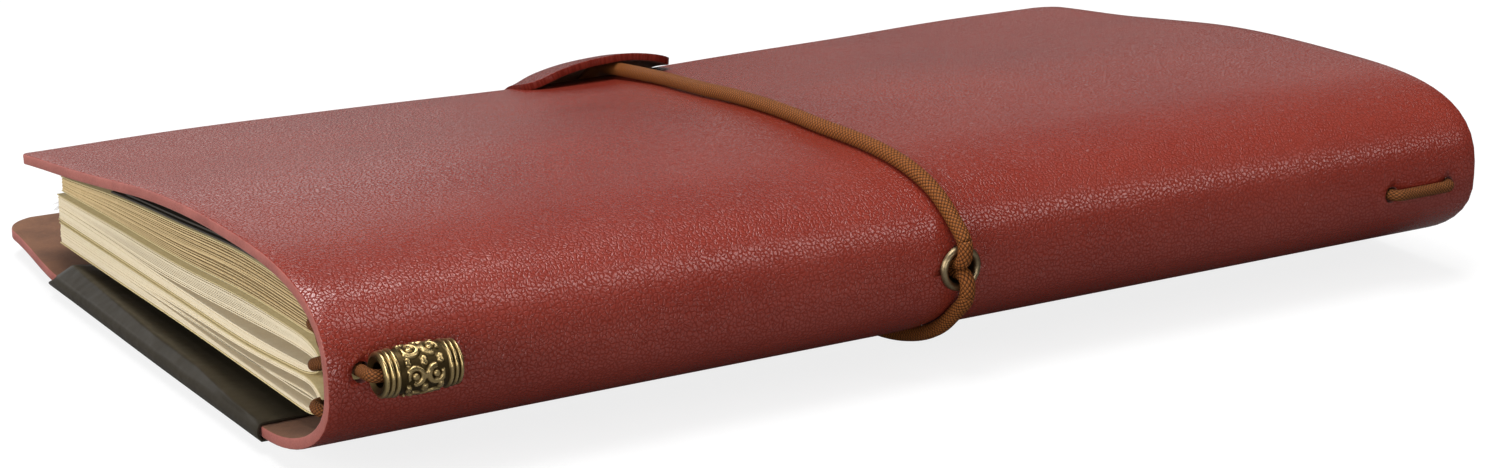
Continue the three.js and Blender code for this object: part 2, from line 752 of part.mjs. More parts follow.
// From below the back cover round the bottom of the spine into the eyelet again
function closureUnderRoute() {
  const low = HOLE_HEIGHT.eyelet - cordInBore;
  const rimLow = HOLE_HEIGHT.eyelet - EYELET.rim / 2 - 1.4;
  const below = underCover
    .filter((p) => p.x < backReach - 20 && p.y < rimLow - 1.6)
    .map((p) => new THREE.Vector3(0, p.x, p.y));
  const end = [
    new THREE.Vector3(0, cordOverRim, rimLow),
    new THREE.Vector3(0, cordOverRim, low),
    new THREE.Vector3(0, cordEnd, low),
  ];
  return [
    new THREE.Vector3(TONGUE_CORD, backReach - 9, -cordUnderCover),
    new THREE.Vector3(1.5, 60, -cordUnderCover),
    ...below,
    ...rounded([below.at(-1), ...end], 1.9, 3).slice(1),
  ];
}

function closureCord() {
  const over = solid(tube(closureOverRoute(), CLOSURE_CORD));
  const under = solid(tube(closureUnderRoute(), CLOSURE_CORD));
  const join = new THREE.Vector3(TONGUE_CORD, backReach - 8.5, -cordUnderCover);
  const splice = solid(
    tube([join.clone().add(new THREE.Vector3(0.06, 1.6, 0)), join.clone().add(new THREE.Vector3(-0.06, -1.6, 0))],
      CLOSURE_CORD),
  );
  return shell(over.add(under).add(splice));
}

// The binding cord: out of the near end of the spine, through the bead and through all three folds.
// A knot at each end, behind the leather, keeps it from slipping back through its hole.
const nearKnotAt = new THREE.Vector3(-HOLE_IN, 0.6 * FOLD_REACH - 0.9, HOLE_HEIGHT.bead);
const farKnotAt = new THREE.Vector3(HOLE_IN - 11, FOLD_REACH - 4.7, 10.4);

function bindingRoute() {
  const end = BOOKLET_LENGTH / 2 + BINDING_CORD / 2 + SEAT;
  const fold = FOLD_REACH + CENTRE_CORD;
  const turn = FOLD_REACH - 1.5;
  const behind = (distance) => FOLD_REACH - distance;
  const one = layerMiddle(LAYER.one, CENTRE_CORD);
  const two = layerMiddle(LAYER.two, CENTRE_CORD);
  const three = layerMiddle(LAYER.three, CENTRE_CORD);
  const { bead, plain } = HOLE_HEIGHT;
  const v = (x, y, z) => new THREE.Vector3(x, y, z);
  return [
    v(-HOLE_IN, nearKnotAt.y - BINDING_KNOT / 2 - SEAT, bead),
    v(-HOLE_IN, -BEAD_REACH, bead),
    v(-HOLE_OUT, -BEAD_REACH, bead),
    v(-HOLE_OUT, behind(7.5), bead),
    v(-end, turn, (bead + two) / 2),
    v(-end, fold, two),
    v(end, fold, two),
    v(end, turn, (plain + two) / 2),
    v(FAR_HOLE_OUT, behind(7.5), plain),
    v(FAR_HOLE_OUT, -BINDING_CORD / 2 - SEAT, plain),
    v(FAR_HOLE_IN, -BINDING_CORD / 2 - SEAT, plain),
    v(FAR_HOLE_IN, behind(6.5), plain),
    v(FAR_HOLE_IN + 6, behind(4), 18),
    v(end, turn, one),
    v(end, fold, one),
    v(-end, fold, one),
    v(-end, turn, one),
    v(-HOLE_OUT + 4.6, behind(3.5), 19),
    v(-HOLE_OUT + 8.6, behind(4.5), 12),
    v(-HOLE_OUT + 4.6, behind(3.5), 8.5),
    v(-end, turn, three),
    v(-end, fold, three),
    v(end, fold, three),
    v(end, turn, three),
    v(HOLE_OUT - 5, behind(3.7), 8.8),
    v(farKnotAt.x + BINDING_KNOT / 2 + SEAT, farKnotAt.y + 0.2, farKnotAt.z - 0.2),
  ];
}

// Bead: a barrel with three rings at each end, scrolls and dots in relief, turned about X
function beadProfile() {
  const { length, endRadius, beltRadius, bore, ring } = BEAD;
  const half = length / 2;
  const barrel = (x) => THREE.MathUtils.lerp(beltRadius, endRadius, (x / half) ** 2);
  const points = [new THREE.Vector2(bore, -half), new THREE.Vector2(endRadius - 0.35, -half)];
  const ringSide = (sign) => {
    const side = [];
    for (let i = 0; i < 3; i++) {
      const x = half - 0.15 - i * 0.75;
      side.push([x, ring], [x - 0.5, ring], [x - 0.6, 0]);
    }
    return side.map(([x, proud]) => new THREE.Vector2(barrel(x) + proud - 0.15, sign * x));
  };
  points.push(...ringSide(-1));
  for (let x = -half + 3; x <= half - 3 + 1e-6; x += 1) points.push(new THREE.Vector2(barrel(x), x));
  points.push(...ringSide(1).reverse());
  points.push(new THREE.Vector2(endRadius - 0.35, half), new THREE.Vector2(bore, half));
  points.push(new THREE.Vector2(bore, -half));
  return points;
}

// A scroll on the barrel: an S of two spirals, laid out flat and wrapped onto the surface
function scroll(turn, flip) {
  const { length, endRadius, beltRadius, relief } = BEAD;
  const onBarrel = (x, arc) => {
    const radius = THREE.MathUtils.lerp(beltRadius, endRadius, ((2 * x) / length) ** 2) - 0.05;
    const angle = turn + arc / beltRadius;
    return new THREE.Vector3(x, radius * Math.cos(angle), radius * Math.sin(angle));
  };
  const spiral = [];
  for (let i = 0; i <= 8; i++) {
    const radius = 1.4 - 0.105 * i;
    const angle = Math.PI + (i / 8) * 2.2 * Math.PI;
    spiral.push([1.4 + radius * Math.cos(angle), flip * radius * Math.sin(angle)]);
  }
  const back = spiral.slice(1).map(([x, arc]) => [-x, -arc]).reverse();
  return tube([...back, ...spiral].map(([x, arc]) => onBarrel(x, arc)), 2 * relief, 5);
}

function bead() {
  const barrel = new THREE.LatheGeometry(beadProfile(), 24).rotateZ(-quarter);
  let body = solid(barrel);
  for (let i = 0; i < 5; i++) {
    const turn = (i * 2 * Math.PI) / 5;
    body = body.add(solid(scroll(turn, i % 2 ? 1 : -1)));
    for (const x of [-2.7, 2.7]) {
      const angle = turn + Math.PI / 5;
      const dot = new THREE.SphereGeometry(0.55, 7, 5).translate(
        x, (BEAD.beltRadius - 0.5) * Math.cos(angle), (BEAD.beltRadius - 0.5) * Math.sin(angle),
      );
      body = body.add(solid(dot));
    }
  }
  return shell(body).translate(-(HOLE_OUT + HOLE_IN) / 2, -BEAD_REACH, HOLE_HEIGHT.bead);
}

// The tongue: leather from the back's fore-edge, draped over the cord onto the front cover
function tongue() {
  const lift = cordStandOff + CLOSURE_CORD / 2 + SEAT + LEATHER / 2;
  const slope = (crownHeight - edgeHeight) / (frontReach - CROWN_REACH) / (1 - CROWN_EASE / 2);
  const path = rounded([
    new THREE.Vector3(0, backReach + SEAT, LEATHER / 2),
    new THREE.Vector3(0, backReach + 5.7, LEATHER / 2),
    new THREE.Vector3(0, backReach + 5.8, 4.9),
    new THREE.Vector3(0, frontReach + 3.2, edgeHeight + 3.9),
    new THREE.Vector3(0, frontReach - 3, edgeHeight + lift + 3 * slope),
    new THREE.Vector3(0, frontReach - TONGUE.overlap, edgeHeight + lift + TONGUE.overlap * slope + SEAT),
  ], 2.6, 4);
  const dense = path.flatMap((p, i) => {
    if (i + 1 >= path.length) return [p];
    const parts = Math.max(1, Math.round(p.distanceTo(path[i + 1]) / 3));
    return Array.from({ length: parts }, (_, k) => p.clone().lerp(path[i + 1], k / parts));
  });
  const run = new Route(dense);
  const lengths = [0];
  for (let i = 1; i < dense.length; i++) lengths.push(lengths[i - 1] + dense[i].distanceTo(dense[i - 1]));
  const total = lengths.at(-1);
  const rings = dense.map((p, i) => {
    const along = run.getTangentAt(i / (dense.length - 1));
    const up = new THREE.Vector3(0, along.z, -along.y);
    const draped = THREE.MathUtils.smoothstep(lengths[i] / total, 0.5, 0.85);
    const tip = Math.max(0, (lengths[i] - (total - TONGUE.tipRound)) / TONGUE.tipRound);
    const half = TONGUE.halfWidth - TONGUE.tipRound * (1 - Math.sqrt(1 - Math.min(tip, 0.98) ** 2));
    const row = (face) => TONGUE_DROOP.map((droop, k) =>
      new THREE.Vector3(TONGUE.middle + (k / 2 - 1) * half, p.y, p.z)
        .addScaledVector(up, (face * LEATHER) / 2 - droop * draped),
    );
    return [...row(-1), ...row(1).reverse()];
  });
  const slot = boxBetween(
    new THREE.Vector3(TONGUE_CORD - TONGUE_SLOT / 2, backReach - 1, -1),
    new THREE.Vector3(TONGUE_CORD + TONGUE_SLOT / 2, backReach + 3.9, 3.4),
  );
  return shell(solid(loft(rings)).subtract(solid(slot)));
}

// Cover
place("back_cover", backCover(), leather);
place("spine_cover", spineCover(), leather);
place("front_cover", frontCover(), leather);
place("closure_tongue", tongue(), leather);

// Eyelet and closure cord
place("eyelet", eyelet(), antiqueBrass);
place("eyelet_washer", eyeletWasher(), antiqueBrass);
place("closure_cord", closureCord(), brownElastic);
place("closure_cord_knot",
  knot(CLOSURE_KNOT, CLOSURE_CORD, 0, cordEnd + SEAT + CLOSURE_KNOT / 2 + 0.4, HOLE_HEIGHT.eyelet), brownElastic);

// Binding cord and bead
place("binding_cord", tube(rounded(bindingRoute(), 2, 3), BINDING_CORD), brownElastic);
place("binding_knot_near",
  knot(BINDING_KNOT, BINDING_CORD, nearKnotAt.x, nearKnotAt.y, nearKnotAt.z), brownElastic);
place("binding_knot_far",
  knot(BINDING_KNOT, BINDING_CORD, farKnotAt.x, farKnotAt.y, farKnotAt.z), brownElastic);
place("bead", bead(), antiqueBrass);

// Booklets
const air = (share) => 0.08 + 0.16 * share;
const fannedAir = (share) => 0.22 + 0.3 * Math.sin(share * Math.PI);
placeWholeBooklet(LAYER.three, "booklet_3", creamPaper, 6, air, 30);
placeWholeBooklet(LAYER.two, "booklet_2", creamPaper, 6, air, 50);
placeOpeningBooklet(LAYER.one, "booklet_1", kraftPaper, 6, fannedAir, 24);

// Plastic pieces
place("clear_pocket", clearPocket(), clearPlastic);
place("card_holder", cardHolder(), darkPlastic);
place("card_pocket_sheet", cardPocketSheet(), darkPlastic);
place("plastic_sleeve", plasticSleeve(), smokePlastic);

// The part's origin is below the middle of the whole notebook, on the surface that it lies on
const bounds = new THREE.Box3().setFromObject(notebook);
const middle = bounds.getCenter(new THREE.Vector3());
notebook.position.set(-middle.x, -middle.y, -bounds.min.z);

export default new THREE.Group().add(notebook);
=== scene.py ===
"""Travelers notebook: the visual model, its finishes, its light and its camera.

Sections are drawn in millimetres on the notebook's own axes: X along the spine, Y from the outermost
spine to the fore-edge, Z up from the underside of the back cover. `Ground` carries them to the frame.
"""

from __future__ import annotations

import json
import logging
import math
from dataclasses import dataclass, field
from enum import Enum
from typing import Callable, Iterable, NamedTuple, Sequence

import bpy
import numpy as np
from mathutils import Euler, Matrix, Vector

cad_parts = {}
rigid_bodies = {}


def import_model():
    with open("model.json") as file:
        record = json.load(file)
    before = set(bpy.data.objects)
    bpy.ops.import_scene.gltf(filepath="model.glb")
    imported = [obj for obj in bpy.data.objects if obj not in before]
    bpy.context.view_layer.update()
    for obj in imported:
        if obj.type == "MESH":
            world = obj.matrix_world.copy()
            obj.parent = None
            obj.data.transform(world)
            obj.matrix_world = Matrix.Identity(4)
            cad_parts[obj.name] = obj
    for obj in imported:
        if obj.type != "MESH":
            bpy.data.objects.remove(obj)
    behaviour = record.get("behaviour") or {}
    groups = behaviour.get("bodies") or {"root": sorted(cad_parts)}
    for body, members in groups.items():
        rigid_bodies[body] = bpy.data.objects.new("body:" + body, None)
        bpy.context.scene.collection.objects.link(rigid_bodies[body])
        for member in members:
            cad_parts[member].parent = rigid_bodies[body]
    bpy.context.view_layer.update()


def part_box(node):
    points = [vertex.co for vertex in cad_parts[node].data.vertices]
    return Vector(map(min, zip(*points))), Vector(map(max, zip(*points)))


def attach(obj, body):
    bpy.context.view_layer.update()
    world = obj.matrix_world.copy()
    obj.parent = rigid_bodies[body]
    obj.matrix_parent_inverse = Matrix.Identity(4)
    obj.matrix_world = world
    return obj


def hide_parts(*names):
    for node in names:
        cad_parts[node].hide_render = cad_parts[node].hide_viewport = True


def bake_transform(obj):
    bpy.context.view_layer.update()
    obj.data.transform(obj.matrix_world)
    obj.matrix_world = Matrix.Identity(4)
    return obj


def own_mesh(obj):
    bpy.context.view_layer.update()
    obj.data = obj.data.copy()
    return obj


LOG = logging.getLogger("notebook")
MM = 0.001
TURN = 2 * math.pi
QUARTER = math.pi / 2

Array = np.ndarray
Shape = Callable[[Array, Array], Array]
Piece = bpy.types.Object
Material = bpy.types.Material
Node = bpy.types.Node
Point = tuple[float, float, float]


class Body(Enum):
    """Bodies of the frame that the pieces ride on."""

    BACK = "back"
    SPINE = "spine"
    BEAD = "bead"
    FAN = "fan"
    TONGUE = "tongue"
    SLEEVE = "sleeve"


class Layer(Enum):
    """Layers of the stack above the back cover, from the lowest up."""

    UNDERLAY = 0
    THREE = 1
    TWO = 2
    POCKET = 3
    ONE = 4
    CARDS = 5


class Hole(NamedTuple):
    """A round hole through the spine: its place along it, its height and its radius."""

    x: float
    z: float
    radius: float


NEAR_OUT = Hole(-104.6, 17.1, 1.6)
NEAR_IN = Hole(-90.8, 17.8, 1.3)
MIDDLE = Hole(0.0, 16.0, 3.2)
FAR_IN = Hole(91.2, 14.4, 1.45)
FAR_OUT = Hole(104.1, 14.4, 1.4)


# Numbers


def smoothstep(low: float, high: float, value: Array) -> Array:
    """Ease from 0 at low to 1 at high."""
    share = np.clip((value - low) / (high - low), 0.0, 1.0)
    return share * share * (3.0 - 2.0 * share)


def spline(values: Sequence[float], share: Array) -> Array:
    """Read a smooth curve through even stations.

    Args:
        values: Values at even stations.
        share: Places along the stations, from 0 to 1.

    Returns:
        The curve's value at each place.
    """
    knots = np.asarray(values, float)
    last = len(knots) - 1
    place = np.clip(share, 0.0, 1.0) * last
    i = np.minimum(np.floor(place).astype(int), last)
    t = place - i
    p0, p1 = knots[np.maximum(i - 1, 0)], knots[i]
    p2, p3 = knots[np.minimum(i + 1, last)], knots[np.minimum(i + 2, last)]
    a, b = (p2 - p0) / 2, (p3 - p1) / 2
    return (2 * p1 - 2 * p2 + a + b) * t**3 + (3 * p2 - 3 * p1 - 2 * a - b) * t**2 + a * t + p1


def waves(x: Array, y: Array, seed: int, length: float) -> Array:
    """A gentle unevenness from a few crossing waves.

    Args:
        x: First coordinate.
        y: Second coordinate.
        seed: Which unevenness.
        length: Typical wave length, in the coordinates' unit.

    Returns:
        Values of about -1 to 1.
    """
    rng = np.random.default_rng(seed)
    total = np.zeros(np.broadcast(x, y).shape)
    for _ in range(5):
        turn, phase = rng.uniform(0, TURN, 2)
        k = TURN / (length * rng.uniform(0.7, 1.6))
        total = total + np.sin(k * (x * math.cos(turn) + y * math.sin(turn)) + phase)
    return total / 3.0

def distances(points: Array) -> Array:
    """Distance of each point of a line from its first one, along the line."""
    return np.concatenate([[0], np.cumsum(np.linalg.norm(np.diff(points, axis=0), axis=1))])


def tangents(points: Array) -> Array:
    """Unit direction of a line at each of its points."""
    tangent = np.gradient(points, axis=0)
    return tangent / np.linalg.norm(tangent, axis=1, keepdims=True)


def read_along(places: Array, run: Array, rows: Array) -> Array:
    """Read rows of numbers at places between the distances at which they are given."""
    return np.stack([np.interp(places, run, column) for column in rows.T], axis=1)


# Meshes


@dataclass
class Ground:
    """Where the notebook's own axes lie in the frame."""

    back_reach: float = 147.0

    def __post_init__(self) -> None:
        """Read the frame's box of the back cover."""
        low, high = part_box("back_cover")
        self.origin = np.array([(low.x + high.x) / 2, high.y - self.back_reach * MM, low.z])

    def place(self, points: Array) -> Array:
        """Carry points in millimetres on the notebook's axes to the frame, in metres."""
        return np.asarray(points, float) * MM + self.origin

    def point(self, x: float, y: float, z: float) -> Point:
        """Carry one point to the frame."""
        return tuple(float(value) for value in self.place(np.array([x, y, z])))


def deselect() -> None:
    """Leave nothing selected, so that an operator acts on its own piece only."""
    if bpy.context.object and bpy.context.object.mode != "OBJECT":
        bpy.ops.object.mode_set(mode="OBJECT")
    bpy.ops.object.select_all(action="DESELECT")


def activate(piece: Piece) -> None:
    """Select one piece alone and make it active."""
    deselect()
    piece.select_set(True)
    bpy.context.view_layer.objects.active = piece


def read(items: bpy.types.bpy_prop_collection, key: str, width: int) -> Array:
    """Read one property of every item, as rows of so many numbers."""
    flat = np.empty(len(items) * width, np.float32)
    items.foreach_get(key, flat)
    return flat.reshape(-1, width)


def apply_modifier(piece: Piece, kind: str, **settings: object) -> None:
    """Add a modifier to the active piece, set it and apply it."""
    modifier = piece.modifiers.new(kind.title(), kind)
    for key, value in settings.items():
        setattr(modifier, key, value)
    bpy.ops.object.modifier_apply(modifier=modifier.name)


def bend_grid(
    name: str,
    along: int,
    across: int,
    shape: Shape,
    ground: Ground,
    unroll: Shape | None = None,
    closed: bool = False,
) -> Piece:
    """Add a grid and bend it to a surface.

    Args:
        name: The piece's name.
        along: Cells along the first share.
        across: Cells along the second share.
        shape: Gives points in millimetres from the two shares.
        ground: Where the notebook lies.
        unroll: Gives the flat place of each point, in millimetres, for the piece's UV map.
        closed: Whether edges that meet are merged into one skin that faces out.

    Returns:
        The new object, at the frame's origin.
    """
    deselect()
    bpy.ops.mesh.primitive_grid_add(x_subdivisions=along, y_subdivisions=across, size=1)
    piece = bpy.context.object
    piece.name = piece.data.name = name
    mesh = piece.data
    flat = read(mesh.vertices, "co", 3).astype(float)
    a, b = flat[:, 0] + 0.5, flat[:, 1] + 0.5
    placed = ground.place(shape(a, b))
    mesh.vertices.foreach_set("co", placed.astype(np.float32).ravel())
    if unroll is not None:
        corners = np.empty(len(mesh.loops), np.int32)
        mesh.loops.foreach_get("vertex_index", corners)
        uv = unroll(a, b)[corners] * MM
        mesh.uv_layers.active.data.foreach_set("uv", uv.astype(np.float32).ravel())
    mesh.update()
    if closed:
        bpy.ops.object.mode_set(mode="EDIT")
        bpy.ops.mesh.select_all(action="SELECT")
        bpy.ops.mesh.remove_doubles(threshold=2e-6)
        bpy.ops.mesh.normals_make_consistent(inside=False)
        bpy.ops.object.mode_set(mode="OBJECT")
    bpy.ops.object.shade_smooth()
    return piece


def thicken(
    piece: Piece,
    thickness: float,
    offset: float = 0.0,
    inner_slot: int = 0,
    rim_slot: int = 0,
    bevel: float = 0.0,
) -> None:
    """Give a sheet its thickness and round its edges.

    Args:
        piece: The sheet.
        thickness: Its thickness in millimetres.
        offset: -1 grows it behind its face, 0 both ways and 1 in front.
        inner_slot: Material steps from the face to the inner face.
        rim_slot: Material steps from the face to the cut edge.
        bevel: Width of the rounding in millimetres, or 0 for none.
    """
    activate(piece)
    apply_modifier(
        piece,
        "SOLIDIFY",
        thickness=thickness * MM,
        offset=offset,
        use_even_offset=False,
        material_offset=inner_slot,
        material_offset_rim=rim_slot,
    )
    if bevel > 0:
        angle = math.radians(55)
        apply_modifier(piece, "BEVEL", width=bevel * MM, segments=2, limit_method="ANGLE", angle_limit=angle)
    bpy.ops.object.shade_smooth_by_angle(angle=math.radians(50))


def join(pieces: Sequence[Piece], name: str) -> Piece:
    """Join pieces into the first of them."""
    activate(pieces[0])
    for piece in pieces:
        piece.select_set(True)
    if len(pieces) > 1:
        bpy.ops.object.join()
    pieces[0].name = pieces[0].data.name = name
    return pieces[0]


def dress(piece: Piece, *materials: Material) -> None:
    """Fill a piece's material slots."""
    piece.data.materials.clear()
    for material in materials:
        piece.data.materials.append(material)


# Routes of the cords


@dataclass
class Route:
    """A smooth line through corners that are rounded."""

    corners: Sequence[Point]
    radius: float = 2.0
    spacing: float = 0.45

    def points(self) -> Array:
        """Lay points at an even spacing along the rounded line."""
        corners = [np.array(c, float) for c in self.corners]
        line = [corners[0]]
        for before, here, after in zip(corners, corners[1:], corners[2:]):
            back, on = np.linalg.norm(before - here), np.linalg.norm(after - here)
            reach = min(self.radius, back * 0.45, on * 0.45)
            start, end = here + (before - here) * reach / back, here + (after - here) * reach / on
            for t in np.linspace(0, 1, 9):
                line.append((1 - t) ** 2 * start + 2 * t * (1 - t) * here + t * t * end)
        line.append(corners[-1])
        dense = np.array(line)
        gaps = np.linalg.norm(np.diff(dense, axis=0), axis=1)
        dense = dense[np.concatenate([[True], gaps > 1e-6])]
        run = distances(dense)
        count = max(4, int(run[-1] / self.spacing))
        laid = read_along(np.linspace(0, run[-1], count), run, dense)
        for _ in range(3):
            laid[1:-1] = (laid[:-2] + 2 * laid[1:-1] + laid[2:]) / 4
        return laid


def side_directions(points: Array) -> tuple[Array, Array]:
    """Carry a steady pair of side directions along a line of points."""
    tangent = tangents(points)
    side = np.zeros_like(points)
    start = np.array([1.0, 0, 0]) if abs(tangent[0][0]) < 0.8 else np.array([0, 0, 1.0])
    side[0] = np.cross(tangent[0], start)
    side[0] /= np.linalg.norm(side[0])
    for i in range(1, len(points)):
        carried = side[i - 1] - tangent[i] * np.dot(side[i - 1], tangent[i])
        side[i] = carried / np.linalg.norm(carried)
    return side, np.cross(tangent, side)


@dataclass
class Cord:
    """A round braided elastic along a route."""

    name: str
    diameter: float
    sides: int = 18

    def build(self, points: Array, ground: Ground, material: Material) -> Piece:
        """Skin the route with a closed round tube.

        Args:
            points: The route in millimetres.
            ground: Where the notebook lies.
            material: The braid's finish.

        Returns:
            The tube, with its length and girth unrolled in its UV map.
        """
        first, second = side_directions(points)
        run = distances(points)
        rows = len(points) + 2
        radius = self.diameter / 2

        def row_of(a: Array) -> Array:
            return np.clip(np.rint(a * (rows - 1)).astype(int) - 1, 0, len(points) - 1)

        def shape(a: Array, b: Array) -> Array:
            i = row_of(a)
            place = np.rint(a * (rows - 1)).astype(int)
            size = np.where((place == 0) | (place == rows - 1), 0.0, radius)[:, None]
            turn = (TURN * b)[:, None]
            return points[i] + size * (np.cos(turn) * first[i] + np.sin(turn) * second[i])

        def unroll(a: Array, b: Array) -> Array:
            return np.stack([run[row_of(a)], b * math.pi * self.diameter], axis=1)

        piece = bend_grid(self.name, rows - 1, self.sides, shape, ground, unroll, closed=True)
        dress(piece, material)
        return piece


# Finishes


Source = Node | tuple[Node, str]


def greys(*stops: tuple[float, float]) -> list[tuple[float, Point]]:
    """Give a ramp's stops in grey, from their places and values."""
    return [(place, (value, value, value)) for place, value in stops]


class Nodes:
    """A material's node tree. A source is a node, for its first output, or a node and an output's name."""

    def __init__(self, name: str) -> None:
        """Start an empty material with a Principled shader."""
        self.material = bpy.data.materials.new(name)
        self.material.use_nodes = True
        self.tree = self.material.node_tree
        self.tree.nodes.clear()
        self.shader = self.add("BsdfPrincipled")
        self.link(self.shader, self.add("OutputMaterial"), "Surface")

    def add(self, kind: str, **settings: object) -> Node:
        """Add a node and set its properties or its sockets by name."""
        node = self.tree.nodes.new(f"ShaderNode{kind}")
        for key, value in settings.items():
            if hasattr(node, key):
                setattr(node, key, value)
            else:
                node.inputs[key.replace("_", " ")].default_value = value
        return node

    def link(self, source: Source, node: Node, into: str | int) -> None:
        """Join a source to a node's input."""
        giver, out = source if isinstance(source, tuple) else (source, 0)
        self.tree.links.new(giver.outputs[out], node.inputs[into])

    def set(self, **sockets: object) -> None:
        """Set the shader's own sockets."""
        for key, value in sockets.items():
            self.shader.inputs[key.replace("_", " ")].default_value = value

    def coordinates(self, unrolled: bool = False, scale: Point = (1, 1, 1)) -> Node:
        """Give coordinates in metres from the UV map or the object, scaled along each axis."""
        mapping = self.add("Mapping", Scale=scale)
        self.link((self.add("TexCoord"), "UV" if unrolled else "Object"), mapping, "Vector")
        return mapping

    def noise(self, at: Source, scale: float, detail: float, roughness: float) -> Node:
        """Add a noise texture on given coordinates."""
        node = self.add("TexNoise", Scale=scale, Detail=detail, Roughness=roughness)
        self.link(at, node, "Vector")
        return node

    def ramp(self, source: Source, stops: Sequence[tuple[float, tuple]], into: str = "Base Color") -> Node:
        """Map a value to colours, and lead them into a socket of the shader where one is named."""
        ramp = self.add("ValToRGB")
        elements = ramp.color_ramp.elements
        while len(elements) < len(stops):
            elements.new(0.5)
        for element, (position, color) in zip(elements, stops):
            element.position = position
            element.color = (*color, 1.0)
        self.link(source, ramp, "Fac")
        if into:
            self.link(ramp, self.shader, into)
        return ramp

    def math(self, operation: str, *values: Source | float) -> Node:
        """Combine values, each a number or a source."""
        node = self.add("Math", operation=operation)
        for i, value in enumerate(values):
            if isinstance(value, (int, float)):
                node.inputs[i].default_value = value
            else:
                self.link(value, node, i)
        return node

    def bump(self, height: Source, distance: float, strength: float) -> None:
        """Drive the shader's normal with a height."""
        bump = self.add("Bump", Strength=strength, Distance=distance)
        self.link(height, bump, "Height")
        self.link(bump, self.shader, "Normal")


@dataclass(frozen=True)
class LeatherFinish:
    """Coated leather: pebbled grain, creases between the pebbles with painted shade in them, and a soft
    gloss.
    """

    name: str = "red leather"
    deep: tuple = (0.21, 0.024, 0.014)
    plain: tuple = (0.235, 0.03, 0.018)
    worn: tuple = (0.262, 0.037, 0.022)
    gloss: float = 0.5
    cells: float = 1400.0
    warp: float = 0.0013

    def build(self) -> Material:
        """Build the leather's face."""
        n = Nodes(self.name)
        base = n.coordinates(unrolled=True)
        mixed = n.add("VectorMath", operation="MULTIPLY_ADD")
        n.link((n.noise(base, 700.0, 3.0, 0.6), "Color"), mixed, 0)
        mixed.inputs[1].default_value = (self.warp, self.warp, 0.0)
        n.link(base, mixed, 2)
        pebble, small = (
            n.add("TexVoronoi", feature=feature, voronoi_dimensions="2D", Scale=self.cells * scale)
            for feature, scale in (("DISTANCE_TO_EDGE", 1.0), ("F1", 2.3))
        )
        n.link(mixed, pebble, "Vector")
        n.link(mixed, small, "Vector")
        fine = n.noise(base, self.cells * 3.2, 4.0, 0.65)
        crease = n.add("MapRange", interpolation_type="SMOOTHSTEP", From_Max=0.24)
        n.link(pebble, crease, "Value")
        relief = n.math("ADD", crease, n.math("MULTIPLY", small, -0.3))
        n.bump(n.math("ADD", relief, n.math("MULTIPLY", fine, 0.06)), 0.000045, 1.0)
        patch = n.noise(base, 26.0, 5.0, 0.55)
        tone = n.ramp(patch, [(0.3, self.deep), (0.52, self.plain), (0.8, self.worn)], "")
        # painted shade: the base colour is darkened in the creases between the pebbles
        crease_shade = n.ramp(crease, [(0.0, (0.5, 0.42, 0.42)), (1.0, (1.0, 1.0, 1.0))], "")
        shade = n.add("MixRGB", blend_type="MULTIPLY", Fac=0.55)
        n.link(tone, shade, "Color1")
        n.link(crease_shade, shade, "Color2")
        n.link(shade, n.shader, "Base Color")
        n.ramp(patch, greys((0.3, 0.21), (0.75, 0.26)), "Roughness")
        n.ramp(crease, greys((0.1, 0.15 * self.gloss), (0.9, 1.3 * self.gloss)), "Specular IOR Level")
        return n.material


@dataclass(frozen=True)
class SuedeFinish:
    """The leather's unfinished inner face, or its cut edge: short fibres and no gloss."""

    name: str
    dark: tuple
    light: tuple
    roughness: float = 0.92
    sheen: float = 0.03

    def build(self) -> Material:
        """Build the nap."""
        n = Nodes(self.name)
        base = n.coordinates()
        nap = n.noise(base, 2600.0, 6.0, 0.75)
        both = n.math("ADD", nap, n.noise(base, 140.0, 4.0, 0.6))
        n.ramp(n.math("MULTIPLY", both, 0.5), [(0.36, self.dark), (0.62, self.light)])
        n.bump(nap, 0.00012, 0.7)
        n.set(Roughness=self.roughness, Sheen_Weight=self.sheen, Sheen_Roughness=0.5)
        return n.material


@dataclass(frozen=True)
class PaperFinish:
    """Paper seen on its face and on its cut edges: fibre, faint streaks along the leaves."""

    name: str
    dark: tuple
    light: tuple
    streak: float = 0.5

    def build(self) -> Material:
        """Build the paper."""
        n = Nodes(self.name)
        lines = n.noise(n.coordinates(scale=(30.0, 8.0, 5200.0)), 1.0, 3.0, 0.7)
        fibre = n.noise(n.coordinates(), 1500.0, 5.0, 0.7)
        streaks = n.math("MULTIPLY", lines, self.streak)
        both = n.math("ADD", streaks, n.math("MULTIPLY", fibre, 1.0 - self.streak))
        n.ramp(both, [(0.3, self.dark), (0.6, self.light)])
        n.bump(both, 0.00006, 0.5)
        n.set(Roughness=0.85, Specular_IOR_Level=0.3)
        return n.material


@dataclass(frozen=True)
class BraidFinish:
    """Braided elastic: two sets of yarns that cross, with painted shade in the gaps between them."""

    name: str
    dark: tuple
    light: tuple
    pitch: float
    girth: float
    yarns: int = 5

    def build(self) -> Material:
        """Build the braid on the cord's unrolled length and girth."""
        n = Nodes(self.name)
        source, split = n.add("TexCoord"), n.add("SeparateXYZ")
        n.link((source, "UV"), split, "Vector")
        along = n.math("MULTIPLY", (split, "X"), TURN / (self.pitch * MM))
        around = n.math("MULTIPLY", (split, "Y"), TURN / (self.girth * MM) * self.yarns)
        right = n.math("SINE", n.math("ADD", along, around))
        left = n.math("SINE", n.math("SUBTRACT", along, around))
        yarn = n.math("ABSOLUTE", n.math("MULTIPLY", right, left))
        fuzz = n.noise((source, "Object"), 3000.0, 3.0, 0.7)
        height = n.math("ADD", yarn, n.math("MULTIPLY", fuzz, 0.5))
        # colour from the yarns' height: painted shade in the low gaps, yarn colour on the crossings
        n.ramp(height, [(0.2, self.dark), (0.85, self.light)])
        n.bump(height, 0.00018, 0.9)
        n.set(Roughness=0.6, Specular_IOR_Level=0.12)
        return n.material


